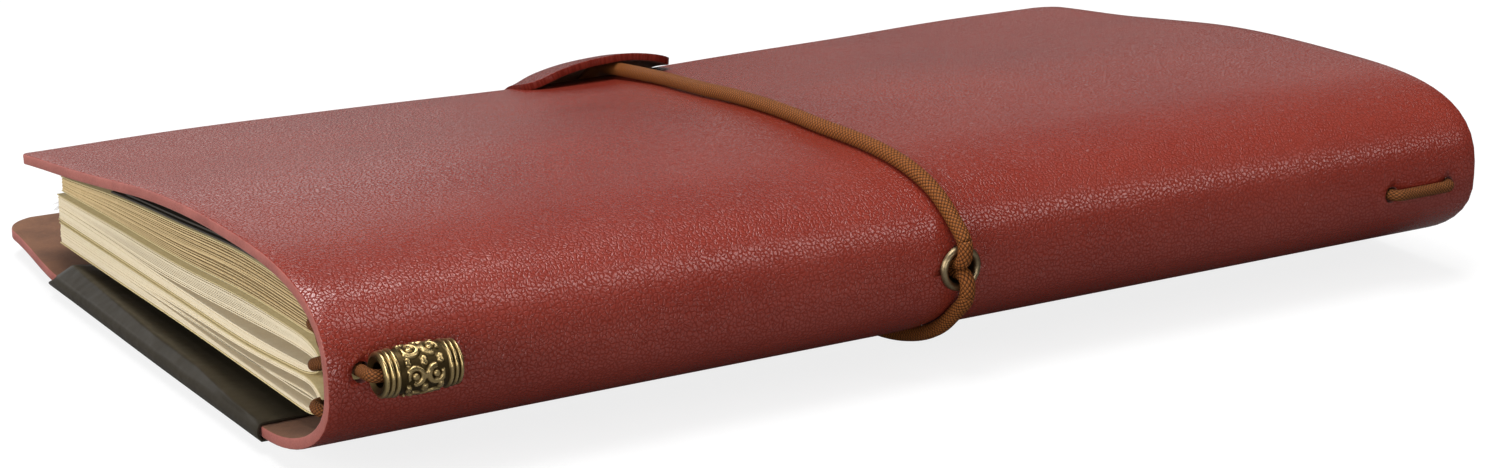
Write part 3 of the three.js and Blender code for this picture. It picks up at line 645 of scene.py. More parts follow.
@dataclass(frozen=True)
class PlasticFinish:
    """Sheet plastic: smooth, faintly uneven, clear or smoked."""

    name: str
    color: tuple
    roughness: float
    ripple: float = 0.3
    alpha: float = 1.0

    def build(self) -> Material:
        """Build the plastic."""
        n = Nodes(self.name)
        base = n.coordinates()
        ripple = n.noise(base, 160.0, 2.0, 0.5)
        dull = n.math("MULTIPLY", n.noise(base, 2400.0, 4.0, 0.7), 0.16)
        n.link(n.math("ADD", dull, self.roughness - 0.08), n.shader, "Roughness")
        deep = tuple(value * 0.8 for value in self.color)
        n.ramp(ripple, [(0.3, deep), (0.7, self.color)])
        n.bump(ripple, 0.0006, self.ripple)
        n.set(IOR=1.49, Alpha=self.alpha, Specular_IOR_Level=0.2)
        return n.material


@dataclass(frozen=True)
class MetalFinish:
    """Metal with dark patina in its hollows and bright, worn heights."""

    name: str
    patina: tuple
    worn: tuple
    roughness: float = 0.34
    hollows: bool = False

    def build(self) -> Material:
        """Build the metal."""
        n = Nodes(self.name)
        spots = n.noise(n.coordinates(), 900.0, 5.0, 0.65)
        if self.hollows:
            relief = n.add("Attribute", attribute_name="relief")
            lifted = n.math("MULTIPLY", (relief, "Fac"), 0.85)
            level = n.math("ADD", lifted, n.math("MULTIPLY", spots, 0.35))
        else:
            level = n.math("MULTIPLY", spots, 1.3)
        n.ramp(level, [(0.22, self.patina), (0.85, self.worn)])
        n.link(n.math("MULTIPLY_ADD", level, -0.22, self.roughness + 0.16), n.shader, "Roughness")
        n.bump(spots, 0.00005, 0.6)
        n.set(Metallic=1.0)
        return n.material


class Finishes:
    """All finishes of the notebook, each built once."""

    def __init__(self) -> None:
        """Build every material."""
        # tones of the tongue's flap leather: the cover's leather made darker, painted shade for a strap that
        # lies in shade
        deep, plain, worn = (0.13, 0.014, 0.008), (0.15, 0.017, 0.01), (0.17, 0.021, 0.013)
        closure_light, binding_light = (0.27, 0.088, 0.02), (0.22, 0.075, 0.02)
        patina, bright = (0.06, 0.04, 0.016), (0.47, 0.345, 0.16)
        cut_dark, cut_light = (0.24, 0.05, 0.035), (0.38, 0.105, 0.08)
        self.leather = LeatherFinish().build()
        self.shaded_flap = LeatherFinish("flap leather", deep, plain, worn, 0.12).build()
        self.suede = SuedeFinish("brown suede", (0.09, 0.037, 0.017), (0.19, 0.081, 0.038)).build()
        self.edge = SuedeFinish("cut leather edge", cut_dark, cut_light, 0.6, 0.1).build()
        self.closure = BraidFinish("brown braid", (0.022, 0.006, 0.002), closure_light, 1.5, 7.85).build()
        self.binding = BraidFinish("brown fine braid", (0.02, 0.006, 0.002), binding_light, 1.2, 6.3).build()
        self.brass = MetalFinish("aged brass", patina, bright, 0.34, True).build()
        self.eyelet = MetalFinish("dull brass", (0.1, 0.072, 0.04), (0.33, 0.25, 0.145), 0.38).build()
        self.steel = MetalFinish("staple wire", (0.42, 0.43, 0.44), (0.7, 0.71, 0.72), 0.22).build()
        self.cream = PaperFinish("cream paper", (0.71, 0.59, 0.4), (0.79, 0.69, 0.5)).build()
        self.kraft = PaperFinish("kraft paper", (0.5, 0.36, 0.17), (0.66, 0.5, 0.27)).build()
        self.card = PaperFinish("kraft card", (0.54, 0.42, 0.2), (0.64, 0.53, 0.29), 0.3).build()
        self.smoke = PlasticFinish("smoked plastic", (0.032, 0.026, 0.017), 0.36, 0.5).build()
        self.dark = PlasticFinish("dark plastic", (0.05, 0.042, 0.034), 0.45).build()
        self.clear = PlasticFinish("clear plastic", (0.85, 0.86, 0.85), 0.3, 0.3, 0.2).build()


# The stack of booklets


@dataclass
class Stack:
    """Thickness of each layer at even stations from the folds to the fore-edge."""

    seat: float = 0.3
    leather: float = 1.8
    width: float = 110.0
    length: float = 210.0
    fold: float = 13.5
    layers: dict = field(
        default_factory=lambda: {
            Layer.UNDERLAY: (2.9, 3.0, 3.0, 2.7, 2.5),
            Layer.THREE: (6.2, 4.3, 4.0, 4.0, 3.9),
            Layer.TWO: (5.7, 7.2, 5.9, 5.4, 4.7),
            Layer.POCKET: (0.4, 0.4, 0.4, 0.4, 0.4),
            Layer.ONE: (5.6, 6.2, 5.8, 4.4, 2.6),
            Layer.CARDS: (1.9, 1.9, 1.9, 1.9, 1.9),
        }
    )

    def floor(self, layer: Layer, reach: Array) -> Array:
        """Height of a layer's underside at a distance from the folds."""
        share = np.clip(np.asarray(reach, float) / self.width, 0, 1)
        below = [values for key, values in self.layers.items() if key.value < layer.value]
        return self.leather + sum(spline(values, share) + self.seat for values in below)

    def top(self, layer: Layer, reach: Array) -> Array:
        """Height of a layer's top at a distance from the folds."""
        share = np.clip(np.asarray(reach, float) / self.width, 0, 1)
        return self.floor(layer, reach) + spline(self.layers[layer], share)

    def middle(self, layer: Layer, reach: Array) -> Array:
        """Height of a layer's middle at a distance from the folds."""
        return (self.floor(layer, reach) + self.top(layer, reach)) / 2


@dataclass
class Outline:
    """The cover's outer section, from the back's fore-edge round the spine to the front's."""

    back_reach: float = 147.0
    front_reach: float = 126.0
    low_depth: float = 28.0
    low_height: float = 13.5
    high_depth: float = 36.0
    crown: float = 30.45
    edge: float = 20.2
    ease: float = 0.444
    seam_height: float = 15.9

    def __post_init__(self) -> None:
        """Lay the section's points and measure along them."""
        turn = np.linspace(QUARTER, 0, 120)
        low = np.stack([self.low_depth * (1 - np.cos(turn)), self.low_height * (1 - np.sin(turn))], axis=1)
        share = np.linspace(0, 1, 160)[1:]
        turn = share**1.5 * QUARTER
        rise = self.crown - self.low_height
        depth = self.high_depth * (1 - np.maximum(np.cos(turn), 0) ** (2 / 3))
        high = np.stack([depth, self.low_height + rise * np.sin(turn) ** (2 / 3)], axis=1)
        share = np.linspace(0, 1, 120)[1:]
        a = self.ease
        drop = np.where(share < a, share**2 / (2 * a), share - a / 2) / (1 - a / 2)
        depth = self.high_depth + (self.front_reach - self.high_depth) * share
        slope = np.stack([depth, self.crown - (self.crown - self.edge) * drop], axis=1)
        flat = np.stack([np.linspace(self.back_reach, self.low_depth, 90)[:-1], np.zeros(89)], axis=1)
        self.points = np.concatenate([flat, low, high, slope])
        self.run = distances(self.points)
        self.length = float(self.run[-1])
        self.seam = float(np.interp(self.seam_height, low_to_high(self.points[:, 1]), self.run))

    def at(self, run: Array, depth: Array | float = 0.0) -> tuple[Array, Array]:
        """Point of the section at a distance along it, and at a depth behind its outer face.

        Args:
            run: Distance from the back's fore-edge.
            depth: Depth inwards; outwards where it is negative.

        Returns:
            Y and Z of the points.
        """
        step = 0.8
        places = (run, np.clip(run + step, 0, self.length), np.clip(run - step, 0, self.length))
        (y, z), ahead, behind = (read_along(place, self.run, self.points).T for place in places)
        dy, dz = ahead - behind
        size = np.hypot(dy, dz)
        return y + dz / size * depth, z - dy / size * depth

    def run_at(self, y: float, top: bool) -> float:
        """Distance along the section where the front or the back cover reaches y."""
        turn = int(np.argmin(self.points[:, 0]))
        part = slice(turn, None) if top else slice(0, turn)
        ys, runs = self.points[part, 0], self.run[part]
        order = np.argsort(ys)
        return float(np.interp(y, ys[order], runs[order]))


def low_to_high(values: Array) -> Array:
    """Make heights rise without a step back, so that they can be searched."""
    peak = int(np.argmax(values))
    rising = np.maximum.accumulate(values[: peak + 1])
    return np.concatenate([rising, rising[-1] + 1e-6 * np.arange(1, len(values) - peak)])


# Cover


@dataclass
class Cover:
    """The leather cover, with its holes."""

    ground: Ground
    outline: Outline
    finishes: Finishes
    thickness: float = 1.8
    half: float = 110.0
    back_corner: float = 7.0
    front_corner: float = 1.5
    far_corner: float = 5.0
    lift: tuple = (0.5, 0.7, 0.4, 0.1, 0.1, 0.0, 0.15, 0.7, 0.7)
    dent: float = 0.5

    def run_of(self, share: Array) -> Array:
        """Distance along the section, with rows drawn closer at both fore-edges."""
        return self.outline.length * (share - 0.8 * np.sin(TURN * share) / TURN)

    def half_at(self, run: Array, a: Array) -> Array:
        """Half of the cover's length where its corners are rounded."""
        half = np.full_like(run, self.half)
        front = np.where(a > 0.5, self.far_corner, self.front_corner)
        for distance, corner in ((run, self.back_corner), (self.outline.length - run, front)):
            inside = np.clip(corner - distance, 0, corner)
            half = np.minimum(half, self.half - corner + np.sqrt(corner**2 - inside**2))
        return half

    def surface(self, a: Array, b: Array) -> Array:
        """Outer face of the leather, with its slight unevenness."""
        run = self.run_of(b)
        x = (2 * a - 1) * self.half_at(run, a)
        front = smoothstep(self.outline.length - 30, self.outline.length, run)
        dip = 0.75 * np.exp(-(((x + 6) / 26) ** 2)) * front
        dip = dip - spline(self.lift, (x / self.half + 1) / 2) * front
        side = smoothstep(70, 110, x)
        level = run - (self.outline.length - self.outline.front_reach)
        dip = dip + 0.5 * side * np.exp(-(((level - 44) / 22) ** 2))
        x = x + 0.8 * side * np.exp(-(((level - 4) / 16) ** 2))
        panel = smoothstep(self.outline.seam + 30, self.outline.seam + 60, run)
        swell = 0.07 * waves(x, run, 7, 55.0) * panel
        reach = self.outline.back_reach - run
        below = smoothstep(-22, 10, reach)
        trail = np.interp(reach, (20, 60, 139), (0, 1.5, 5))
        pressed = self.dent * np.exp(-(((x - trail) / 1.8) ** 2)) * below
        y, z = self.outline.at(run, dip + swell + pressed)
        near = smoothstep(50, 110, -x)
        x = x + near * (0.7 * smoothstep(14, 40, reach) + 2.2 * smoothstep(112, 143, reach))
        y = y + 0.6 * smoothstep(122, 147, reach)
        z = z + 0.75 * smoothstep(108, 147, reach) * smoothstep(20, 110, -x)
        return np.stack([x, y, z], axis=1)

    def unroll(self, a: Array, b: Array) -> Array:
        """Flat place of each point of the leather."""
        run = self.run_of(b)
        return np.stack([(2 * a - 1) * self.half_at(run, a), run], axis=1)

    def punch(self, piece: Piece) -> None:
        """Cut the cords' holes and the eyelet's hole."""
        for hole in (NEAR_OUT, NEAR_IN, MIDDLE, FAR_IN, FAR_OUT):
            deselect()
            bpy.ops.mesh.primitive_cylinder_add(
                vertices=24,
                radius=hole.radius * MM,
                depth=8 * MM,
                location=self.ground.point(hole.x, 1.5, hole.z),
                rotation=(QUARTER, 0, 0),
            )
            cutter = bpy.context.object
            dress(cutter, self.finishes.edge)
            activate(piece)
            apply_modifier(
                piece,
                "BOOLEAN",
                operation="DIFFERENCE",
                solver="EXACT",
                material_mode="TRANSFER",
                object=cutter,
            )
            bpy.data.objects.remove(cutter, do_unlink=True)

    def part(self, piece: Piece) -> Piece:
        """Part the leather along the middle of its spine.

        Args:
            piece: The whole leather.

        Returns:
            The front side; the piece itself keeps the back side.
        """
        mesh = piece.data
        run = read(mesh.uv_layers.active.data, "uv", 2)[:, 1] / MM
        activate(piece)
        bpy.ops.object.mode_set(mode="EDIT")
        bpy.ops.mesh.select_all(action="DESELECT")
        bpy.ops.object.mode_set(mode="OBJECT")
        for face in mesh.polygons:
            loops = range(face.loop_start, face.loop_start + face.loop_total)
            face.select = float(np.mean([run[i] for i in loops])) > self.outline.seam
        bpy.ops.object.mode_set(mode="EDIT")
        bpy.ops.mesh.separate(type="SELECTED")
        bpy.ops.object.mode_set(mode="OBJECT")
        return next(o for o in bpy.context.selected_objects if o != piece)

    def build(self) -> list[Piece]:
        """Build the whole cover and part it into its back side and its front side."""
        leather = bend_grid("leather_back", 72, 210, self.surface, self.ground, self.unroll)
        dress(leather, self.finishes.leather, self.finishes.suede, self.finishes.edge)
        thicken(leather, self.thickness, -1.0, 1, 2, 0.35)
        self.punch(leather)
        front = self.part(leather)
        front.name = front.data.name = "leather_front"
        self.ground.point(0, 8.0, 2.4)
        self.ground.point(0, 0.4, 12.9)
        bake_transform(leather)
        self.ground.point(0, 0.3, 18.5)
        self.ground.point(0, 9.0, 28.3)
        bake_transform(front)
        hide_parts("back_cover", "spine_cover")
        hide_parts("front_cover")
        return [leather, front]


@dataclass
class Tongue:
    """The closing tongue, a strap of the same leather that is draped over the cord."""

    ground: Ground
    finishes: Finishes
    middle: float = 4.7
    skew: float = -3.3
    half: float = 15.7
    tip: float = 5.0
    thickness: float = 1.35
    corners: tuple = (
        (0, 147.0, 0.9),
        (0, 152.7, 0.9),
        (0, 152.8, 4.9),
        (0, 129.0, 22.0),
        (0, 124.5, 23.4),
        (0, 118.0, 24.95),
    )
    droop: tuple = (3.25, 1.6, 0.6, 0.15, 0.1, 0.9, 2.2)

    def build(self) -> Piece:
        """Build the strap along its line and let its sides hang from the cord below it."""
        line = Route(self.corners, 3.2, 0.6).points()
        run = distances(line)
        total = float(run[-1])
        tangent = tangents(line)

        def place(b: Array) -> Array:
            return (b - 0.35 * np.sin(TURN * b) / TURN) * total

        def half_at(distance: Array) -> Array:
            inside = np.clip((distance - (total - self.tip)) / self.tip, 0, 1)
            return self.half - self.tip * (1 - np.sqrt(np.maximum(1 - inside**2, 0)))

        def shape(a: Array, b: Array) -> Array:
            distance = place(b)
            at = read_along(distance, run, line)
            dy, dz = read_along(distance, run, tangent[:, 1:]).T
            up = np.stack([np.zeros_like(dy), dz, -dy], axis=1)
            across = (2 * a - 1) * half_at(distance)
            draped = smoothstep(total * 0.32, total * 0.72, distance)
            drop = spline(self.droop, (across / self.half + 1) / 2) * draped
            point = at + up * (self.thickness / 2 - drop)[:, None]
            point[:, 0] += self.middle + self.skew * draped + across
            return point

        def unroll(a: Array, b: Array) -> Array:
            distance = place(b)
            return np.stack([(2 * a - 1) * half_at(distance) + 400, distance], axis=1)

        strap = bend_grid("closing_tongue", 40, 90, shape, self.ground, unroll)
        activate(strap)
        # the strap's face and rim take the darker flap leather: painted shade
        dress(strap, self.finishes.shaded_flap, self.finishes.suede, self.finishes.edge)
        if strap.data.polygons[0].normal.z > 0:
            strap.data.flip_normals()
        thicken(strap, self.thickness, -1.0, 1, 0, 0.3)
        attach(strap, Body.TONGUE.value)
        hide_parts("closure_tongue")
        return strap


# Metal


@dataclass
class Turned:
    """A turned metal piece, from a profile of radius and place along its axis."""

    name: str
    profile: Sequence[tuple[float, float]]
    sides: int = 72

    def build(self, centre: Point, ground: Ground) -> Piece:
        """Turn the closed profile about an axis along Y."""
        ring = np.array([*self.profile, self.profile[0]], float)
        rows = len(ring) - 1
        middle = np.array(centre, float)

        def shape(a: Array, b: Array) -> Array:
            i = np.rint(a * rows).astype(int)
            turn = TURN * b
            radius, depth = ring[i, 0], ring[i, 1]
            return middle + np.stack([radius * np.cos(turn), depth, radius * np.sin(turn)], axis=1)

        return bend_grid(self.name, rows, self.sides, shape, ground, closed=True)


@dataclass
class Eyelet:
    """The brass eyelet of the closure cord."""

    ground: Ground
    finishes: Finishes
    centre: tuple = (0.0, 0.0, 16.0)
    bore: float = 2.5
    rim: float = 3.8

    def build(self) -> Piece:
        """Build the flange with its rolled lip, the barrel and the curl behind the leather."""
        middle, half, profile = (self.bore + self.rim) / 2, (self.rim - self.bore) / 2, []
        for turn in np.linspace(0, math.pi, 11):
            profile.append((middle - half * math.cos(turn), -0.3 - 0.75 * math.sin(turn)))
        profile += [(self.bore + 0.4, -0.28), (self.bore + 0.4, 3.75)]
        for turn in np.linspace(0, math.pi, 7):
            profile.append((self.bore + 0.72 + 0.42 * math.cos(turn), 3.85 + 0.4 * math.sin(turn)))
        profile += [(self.bore, 3.8), (self.bore, 0.0)]
        piece = Turned("brass_eyelet", profile).build(self.centre, self.ground)
        dress(piece, self.finishes.eyelet)
        bpy.ops.object.shade_smooth_by_angle(angle=math.radians(45))
        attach(piece, Body.SPINE.value)
        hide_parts("eyelet")
        return piece


@dataclass
class Bead:
    """The carved barrel bead: three rings at each end, scrolls and dots between them."""

    ground: Ground
    finishes: Finishes
    centre: tuple = (-98.02, -4.06, 17.8)
    length: float = 12.75
    end: float = 3.05
    belt: float = 3.5
    bore: float = 1.9
    relief: float = 0.42
    sunk: float = 0.25
    repeats: int = 5

    def scrolls(self, x: Array, arc: Array) -> Array:
        """Distance from the scrolls' centre lines, on the unrolled belt.

        Args:
            x: Place along the bead.
            arc: Place around it, within one repeat, from its middle.

        Returns:
            Least distance to a scroll.
        """
        least = np.full(len(x), 9.0)
        for side in (-1, 1):
            dx, da = (x - side * 1.65) * side, arc * side
            angle = np.arctan2(da, dx)
            open_at = np.abs(np.abs(angle - 2.2) - math.pi)
            ring = np.abs(np.hypot(dx, da) - 1.2) + 2.0 * smoothstep(0.55, 0.35, open_at)
            least = np.minimum(least, ring)
            least = np.minimum(least, np.hypot(dx, da) - 0.12)
        return np.minimum(least, np.hypot(x, arc) - 0.1)

    def height(self, x: Array, turn: Array) -> Array:
        """Relief above the barrel, from 0 to 1, by place along and turn around."""
        pitch = TURN / self.repeats
        part = np.mod(turn, pitch) - pitch / 2
        odd = np.mod(np.floor(turn / pitch), 2)
        arc = part * self.belt * np.where(odd > 0, -1.0, 1.0)
        scroll = 1 - smoothstep(0.26, 0.5, self.scrolls(x, arc))
        dots = np.zeros_like(x)
        for dx, da in ((0, 1.9), (2.6, 1.9), (-2.6, 1.9), (0, -1.9), (2.6, -1.9), (-2.6, -1.9)):
            dots = np.maximum(dots, 1 - smoothstep(0.3, 0.62, np.hypot(x - dx, arc - da)))
        belt = np.abs(x) < 2.95
        raised = np.where(belt, np.maximum(scroll, dots), 0.0)
        for i in range(3):
            ring = self.length / 2 - 0.45 - i * 0.85
            raised = np.maximum(raised, 1 - smoothstep(0.14, 0.4, np.abs(np.abs(x) - ring)))
        return raised

    def build(self) -> Piece:
        """Build the bead with its relief in its mesh and its heights in an attribute."""
        half = self.length / 2
        rows, outer, sides = 150, 120, 220
        centre = np.array(self.centre, float)

        def barrel(x: Array) -> Array:
            return self.belt + (self.end - self.belt) * (x / half) ** 2

        def shape(a: Array, b: Array) -> Array:
            i = np.rint(a * rows).astype(int)
            outwards = -half + self.length * i / outer
            x = np.where(i <= outer, outwards, half - self.length * (i - outer) / (rows - outer))
            turn = TURN * b
            lip = 0.28 * smoothstep(half - 0.35, half, np.abs(x))
            raised = self.relief * (self.height(x, turn) - self.sunk)
            radius = np.where(i <= outer, barrel(x) + raised - lip, self.bore)
            radius = np.where((i == rows) | (i == 0), self.end - 0.3, radius)
            x = np.where(i == outer + 1, half, x)
            return centre + np.stack([x, radius * np.cos(turn), radius * np.sin(turn)], axis=1)

        piece = bend_grid("carved_bead", rows, sides, shape, self.ground, closed=True)
        local = (read(piece.data.vertices, "co", 3) - self.ground.place(centre)) / MM
        radius = np.hypot(local[:, 1], local[:, 2])
        relief = np.clip((radius - barrel(local[:, 0])) / self.relief + self.sunk, 0, 1)
        attribute = piece.data.attributes.new("relief", "FLOAT", "POINT")
        attribute.data.foreach_set("value", relief.astype(np.float32))
        dress(piece, self.finishes.brass)
        bpy.ops.object.shade_smooth_by_angle(angle=math.radians(60))
        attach(piece, Body.BEAD.value)
        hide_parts("bead")
        return piece


# Cords


@dataclass
class Cords:
    """The closure cord and the binding cord, with their knots."""

    ground: Ground
    outline: Outline
    stack: Stack
    finishes: Finishes
    closure: float = 2.5
    binding: float = 2.0
    drift: tuple = ((-3, 0), (6, -1.1), (36, -3.7), (60, -2.8), (75, -1.9), (97, 2.1), (115, 4.3), (126, 5.0))
    split: float = 3.4
    leaving: float = 17.05
    coming: float = 15.05
    below: float = -0.85
    fore_edge: tuple = (5, 139)

    def over(self) -> Array:
        """Route from the knot out of the eyelet, over the cover and round the fore-edge."""
        start = [(-0.35, 4.6, self.leaving), (-0.35, -1.9, self.leaving), (-0.2, -2.15, 20.6)]
        runs = np.linspace(self.outline.seam + 8.2, self.outline.run_at(121.0, True), 34)
        y, z = self.outline.at(runs, -(self.closure / 2 + 0.02))
        ys, xs = zip(*self.drift)
        top = [(float(np.interp(b, ys, xs)), b, c) for b, c in zip(y, z)]
        end = [(5, 127.5, 21.4), (5, 148.55, 4.2), (5, 148.55, self.below), (*self.fore_edge, self.below)]
        return Route([*start, *top, *end], 2.2, 0.4).points()

    def under(self) -> Array:
        """Route from below the back cover round the bottom of the spine into the eyelet."""
        runs = np.linspace(self.outline.run_at(30.0, False), self.outline.seam - 8.6, 14)
        y, z = self.outline.at(runs, -(self.closure / 2 - 0.3))
        start = [(*self.fore_edge, self.below), (1.5, 60, self.below)]
        bottom = [(0, b, c) for b, c in zip(y, z)]
        end = [(0.3, -2.15, 11.2), (0.35, -1.9, self.coming), (0.35, 4.6, self.coming)]
        return Route([*start, *bottom, *end], 2.2, 0.4).points()

    def knot(self, name: str, centre: Point, size: float, cord: float, body: Body, node: str) -> Piece:
        """Tie a knot: one closed turn of cord that crosses itself three times.

        Args:
            name: The piece's name.
            centre: Its middle in millimetres.
            size: Its size across.
            cord: The cord's diameter.
            body: The body that it rides on.
            node: The CAD node that it stands for.

        Returns:
            The knot.
        """
        t = np.linspace(0, TURN, 120)
        x, y, z = np.sin(t) + 2 * np.sin(2 * t), np.cos(t) - 2 * np.cos(2 * t), -1.35 * np.sin(3 * t)
        loop = np.stack([x, z, y], axis=1) * (size - cord) / 2 / 3.0 + np.array(centre)
        braid = self.finishes.closure if cord == self.closure else self.finishes.binding
        piece = Cord(name, cord, 14).build(loop, self.ground, braid)
        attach(piece, body.value)
        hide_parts(node)
        return piece

    def build_closure(self) -> list[Piece]:
        """Build the closure cord: its bight in the eyelet, and the loop that is drawn off."""
        over, under = self.over(), self.under()
        cut_over = int(np.argmax(over[:, 2] > self.leaving + self.split))
        cut_under = int(np.argmax((under[:, 2] > self.coming - self.split) & (under[:, 1] < 2)))

        def tube(name: str, points: Array) -> Piece:
            return Cord(name, self.closure).build(points, self.ground, self.finishes.closure)

        bight = join(
            [tube("cord_bight", over[: cut_over + 1]), tube("cord_bight_low", under[cut_under:])],
            "closure_cord_bight",
        )
        loop = join(
            [tube("cord_loop", over[cut_over:]), tube("cord_loop_low", under[: cut_under + 1])],
            "closure_cord_loop",
        )
        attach(bight, Body.SPINE.value)
        self.ground.point(0, 60, -0.85)
        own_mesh(loop)
        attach(loop, Body.BACK.value)
        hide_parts("closure_cord")
        knot = self.knot("closure_knot", (0, 9.0, 16.0), 7.4, self.closure, Body.SPINE, "closure_cord_knot")
        return [bight, loop, knot]

    def build_binding(self) -> list[Piece]:
        """Build the binding cord: its runs outside the spine and those inside."""
        end, turn_in, back_face = 106.3, 14.2, 2.4
        fold, tuck = self.stack.fold + 4.1, self.stack.fold + 1.0
        one, two, three = (
            float(self.stack.middle(layer, 4.1)) for layer in (Layer.ONE, Layer.TWO, Layer.THREE)
        )

        def tube(name: str, corners: Sequence[Point], radius: float = 2.0) -> Piece:
            points = Route(corners, radius).points()
            return Cord(name, self.binding, 16).build(points, self.ground, self.finishes.binding)

        def through(height: float) -> list[Point]:
            half = [(end, tuck, height), (102, tuck, height), (97, fold, height)]
            return [*half, *((-x, y, z) for x, y, z in half[::-1])]

        near = [(NEAR_IN.x, 3.9, NEAR_IN.z), (NEAR_IN.x, -4.06, NEAR_IN.z)]
        near += [(-104.7, -4.06, 17.6), (NEAR_OUT.x, 2.6, NEAR_OUT.z)]
        far = [(FAR_OUT.x, 2.6, FAR_OUT.z), (FAR_OUT.x, -1.1, FAR_OUT.z)]
        far += [(FAR_IN.x, -1.1, FAR_IN.z), (FAR_IN.x, 2.6, FAR_IN.z)]
        outer = [tube("binding_near", near, 1.1), tube("binding_far", far, 1.2)]
        outside = join(outer, "binding_cord_outside")
        first = [
            (NEAR_OUT.x, back_face, NEAR_OUT.z), (NEAR_OUT.x, 6, NEAR_OUT.z),
            (-end, 11, (NEAR_OUT.z + two) / 2),
            (-end, turn_in, two), (-103, turn_in, two), (-98, fold, two), (98, fold, two),
            (103, turn_in, two), (end, turn_in, two), (end, 11, (FAR_OUT.z + two) / 2),
            (FAR_OUT.x, 6, FAR_OUT.z), (FAR_OUT.x, back_face, FAR_OUT.z),
        ]
        second = [
            (FAR_IN.x, back_face, FAR_IN.z), (FAR_IN.x, 7, FAR_IN.z), (end, 9.2, 17.5), (end, 10, one),
            *through(one),
            (-end, 10, one), (-end, 9.5, 18.5), (-97, 9, 12), (-101, 10, 8.5), (-end, 10, three),
            *through(three)[::-1],
            (end, 10, three), (100.6, 9.8, 8.8), (83.1, 9.0, 10.2),
        ]
        inside = join([tube("binding_first", first), tube("binding_second", second)], "binding_cord_inside")
        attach(outside, Body.SPINE.value)
        self.ground.point(0, 2.4, 16)
        self.ground.point(0, 12.5, 16)
        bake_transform(inside)
        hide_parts("binding_cord")
        near_knot, far_knot = (NEAR_IN.x, 7.2, NEAR_IN.z), (79.8, 8.8, 10.4)
        knots = [
            self.knot("knot_near", near_knot, 6, self.binding, Body.SPINE, "binding_knot_near"),
            self.knot("knot_far", far_knot, 6, self.binding, Body.BACK, "binding_knot_far"),
        ]
        return [outside, inside, *knots]


# Booklets


class Half(Enum):
    """Which leaves of a booklet a piece holds."""

    WHOLE = "whole"
    BACK = "back"
    FRONT = "front"


@dataclass(frozen=True)
class Opening:
    """How far the two halves of a booklet stand apart near its fold."""

    heights: tuple = (0.0, 0.3, 0.1, 0.0)
    reach: float = 25.0
    low_share: float = 0.5
    round: float = 5.0

    def gap(self, reach: Array) -> Array:
        """Height of the opening at a distance from the folds."""
        return np.maximum(spline(self.heights, reach / self.reach), 0) * (reach < self.reach)

    def share(self, reach: Array) -> Array:
        """Share of the paper that lies below the opening."""
        return self.low_share + (0.5 - self.low_share) * smoothstep(self.reach * 0.8, 105.0, reach)


@dataclass
class Sheet:
    """One folded sheet of a booklet, drawn as a line that runs round the fold."""

    stack: Stack
    layer: Layer
    opening: Opening
    nest: float
    bunched: float
    inset: float
    trim: float

    def line(self, count: int, half: Half) -> Array:
        """Lay the sheet's section.

        Args:
            count: How many points it gets.
            half: Which side of the fold is kept.

        Returns:
            Y and Z of its points, from the lower fore-edge round to the upper one.
        """
        inset_y = self.inset + self.nest * 1.6
        width = self.stack.width - self.trim
        reach = inset_y + (width - inset_y) * np.linspace(0, 1, count) ** 1.7
        nest = self.bunched + (self.nest - self.bunched) * smoothstep(18.0, 80.0, reach)
        floor = self.stack.floor(self.layer, reach) + self.inset
        top = self.stack.top(self.layer, reach) - self.inset
        gap = np.minimum(self.opening.gap(reach), (top - floor) * 0.8)
        paper = top - floor - gap
        low_paper = paper * self.opening.share(reach)
        lower = floor + nest * low_paper
        upper = top - nest * (paper - low_paper)
        bend = self.opening.round * (1 - 0.5 * self.nest)
        inside = np.clip(1 - (reach - inset_y) / bend, 0, 1)
        fold = np.sqrt(1 - inside**2)
        middle = (floor + top) / 2
        lower = middle + (lower - middle) * fold
        upper = middle + (upper - middle) * fold
        y = self.stack.fold + reach
        back = np.stack([y[::-1], lower[::-1]], axis=1)
        front = np.stack([y, upper], axis=1)
        if half is Half.BACK:
            return back
        if half is Half.FRONT:
            return front
        return np.concatenate([back, front[1:]])


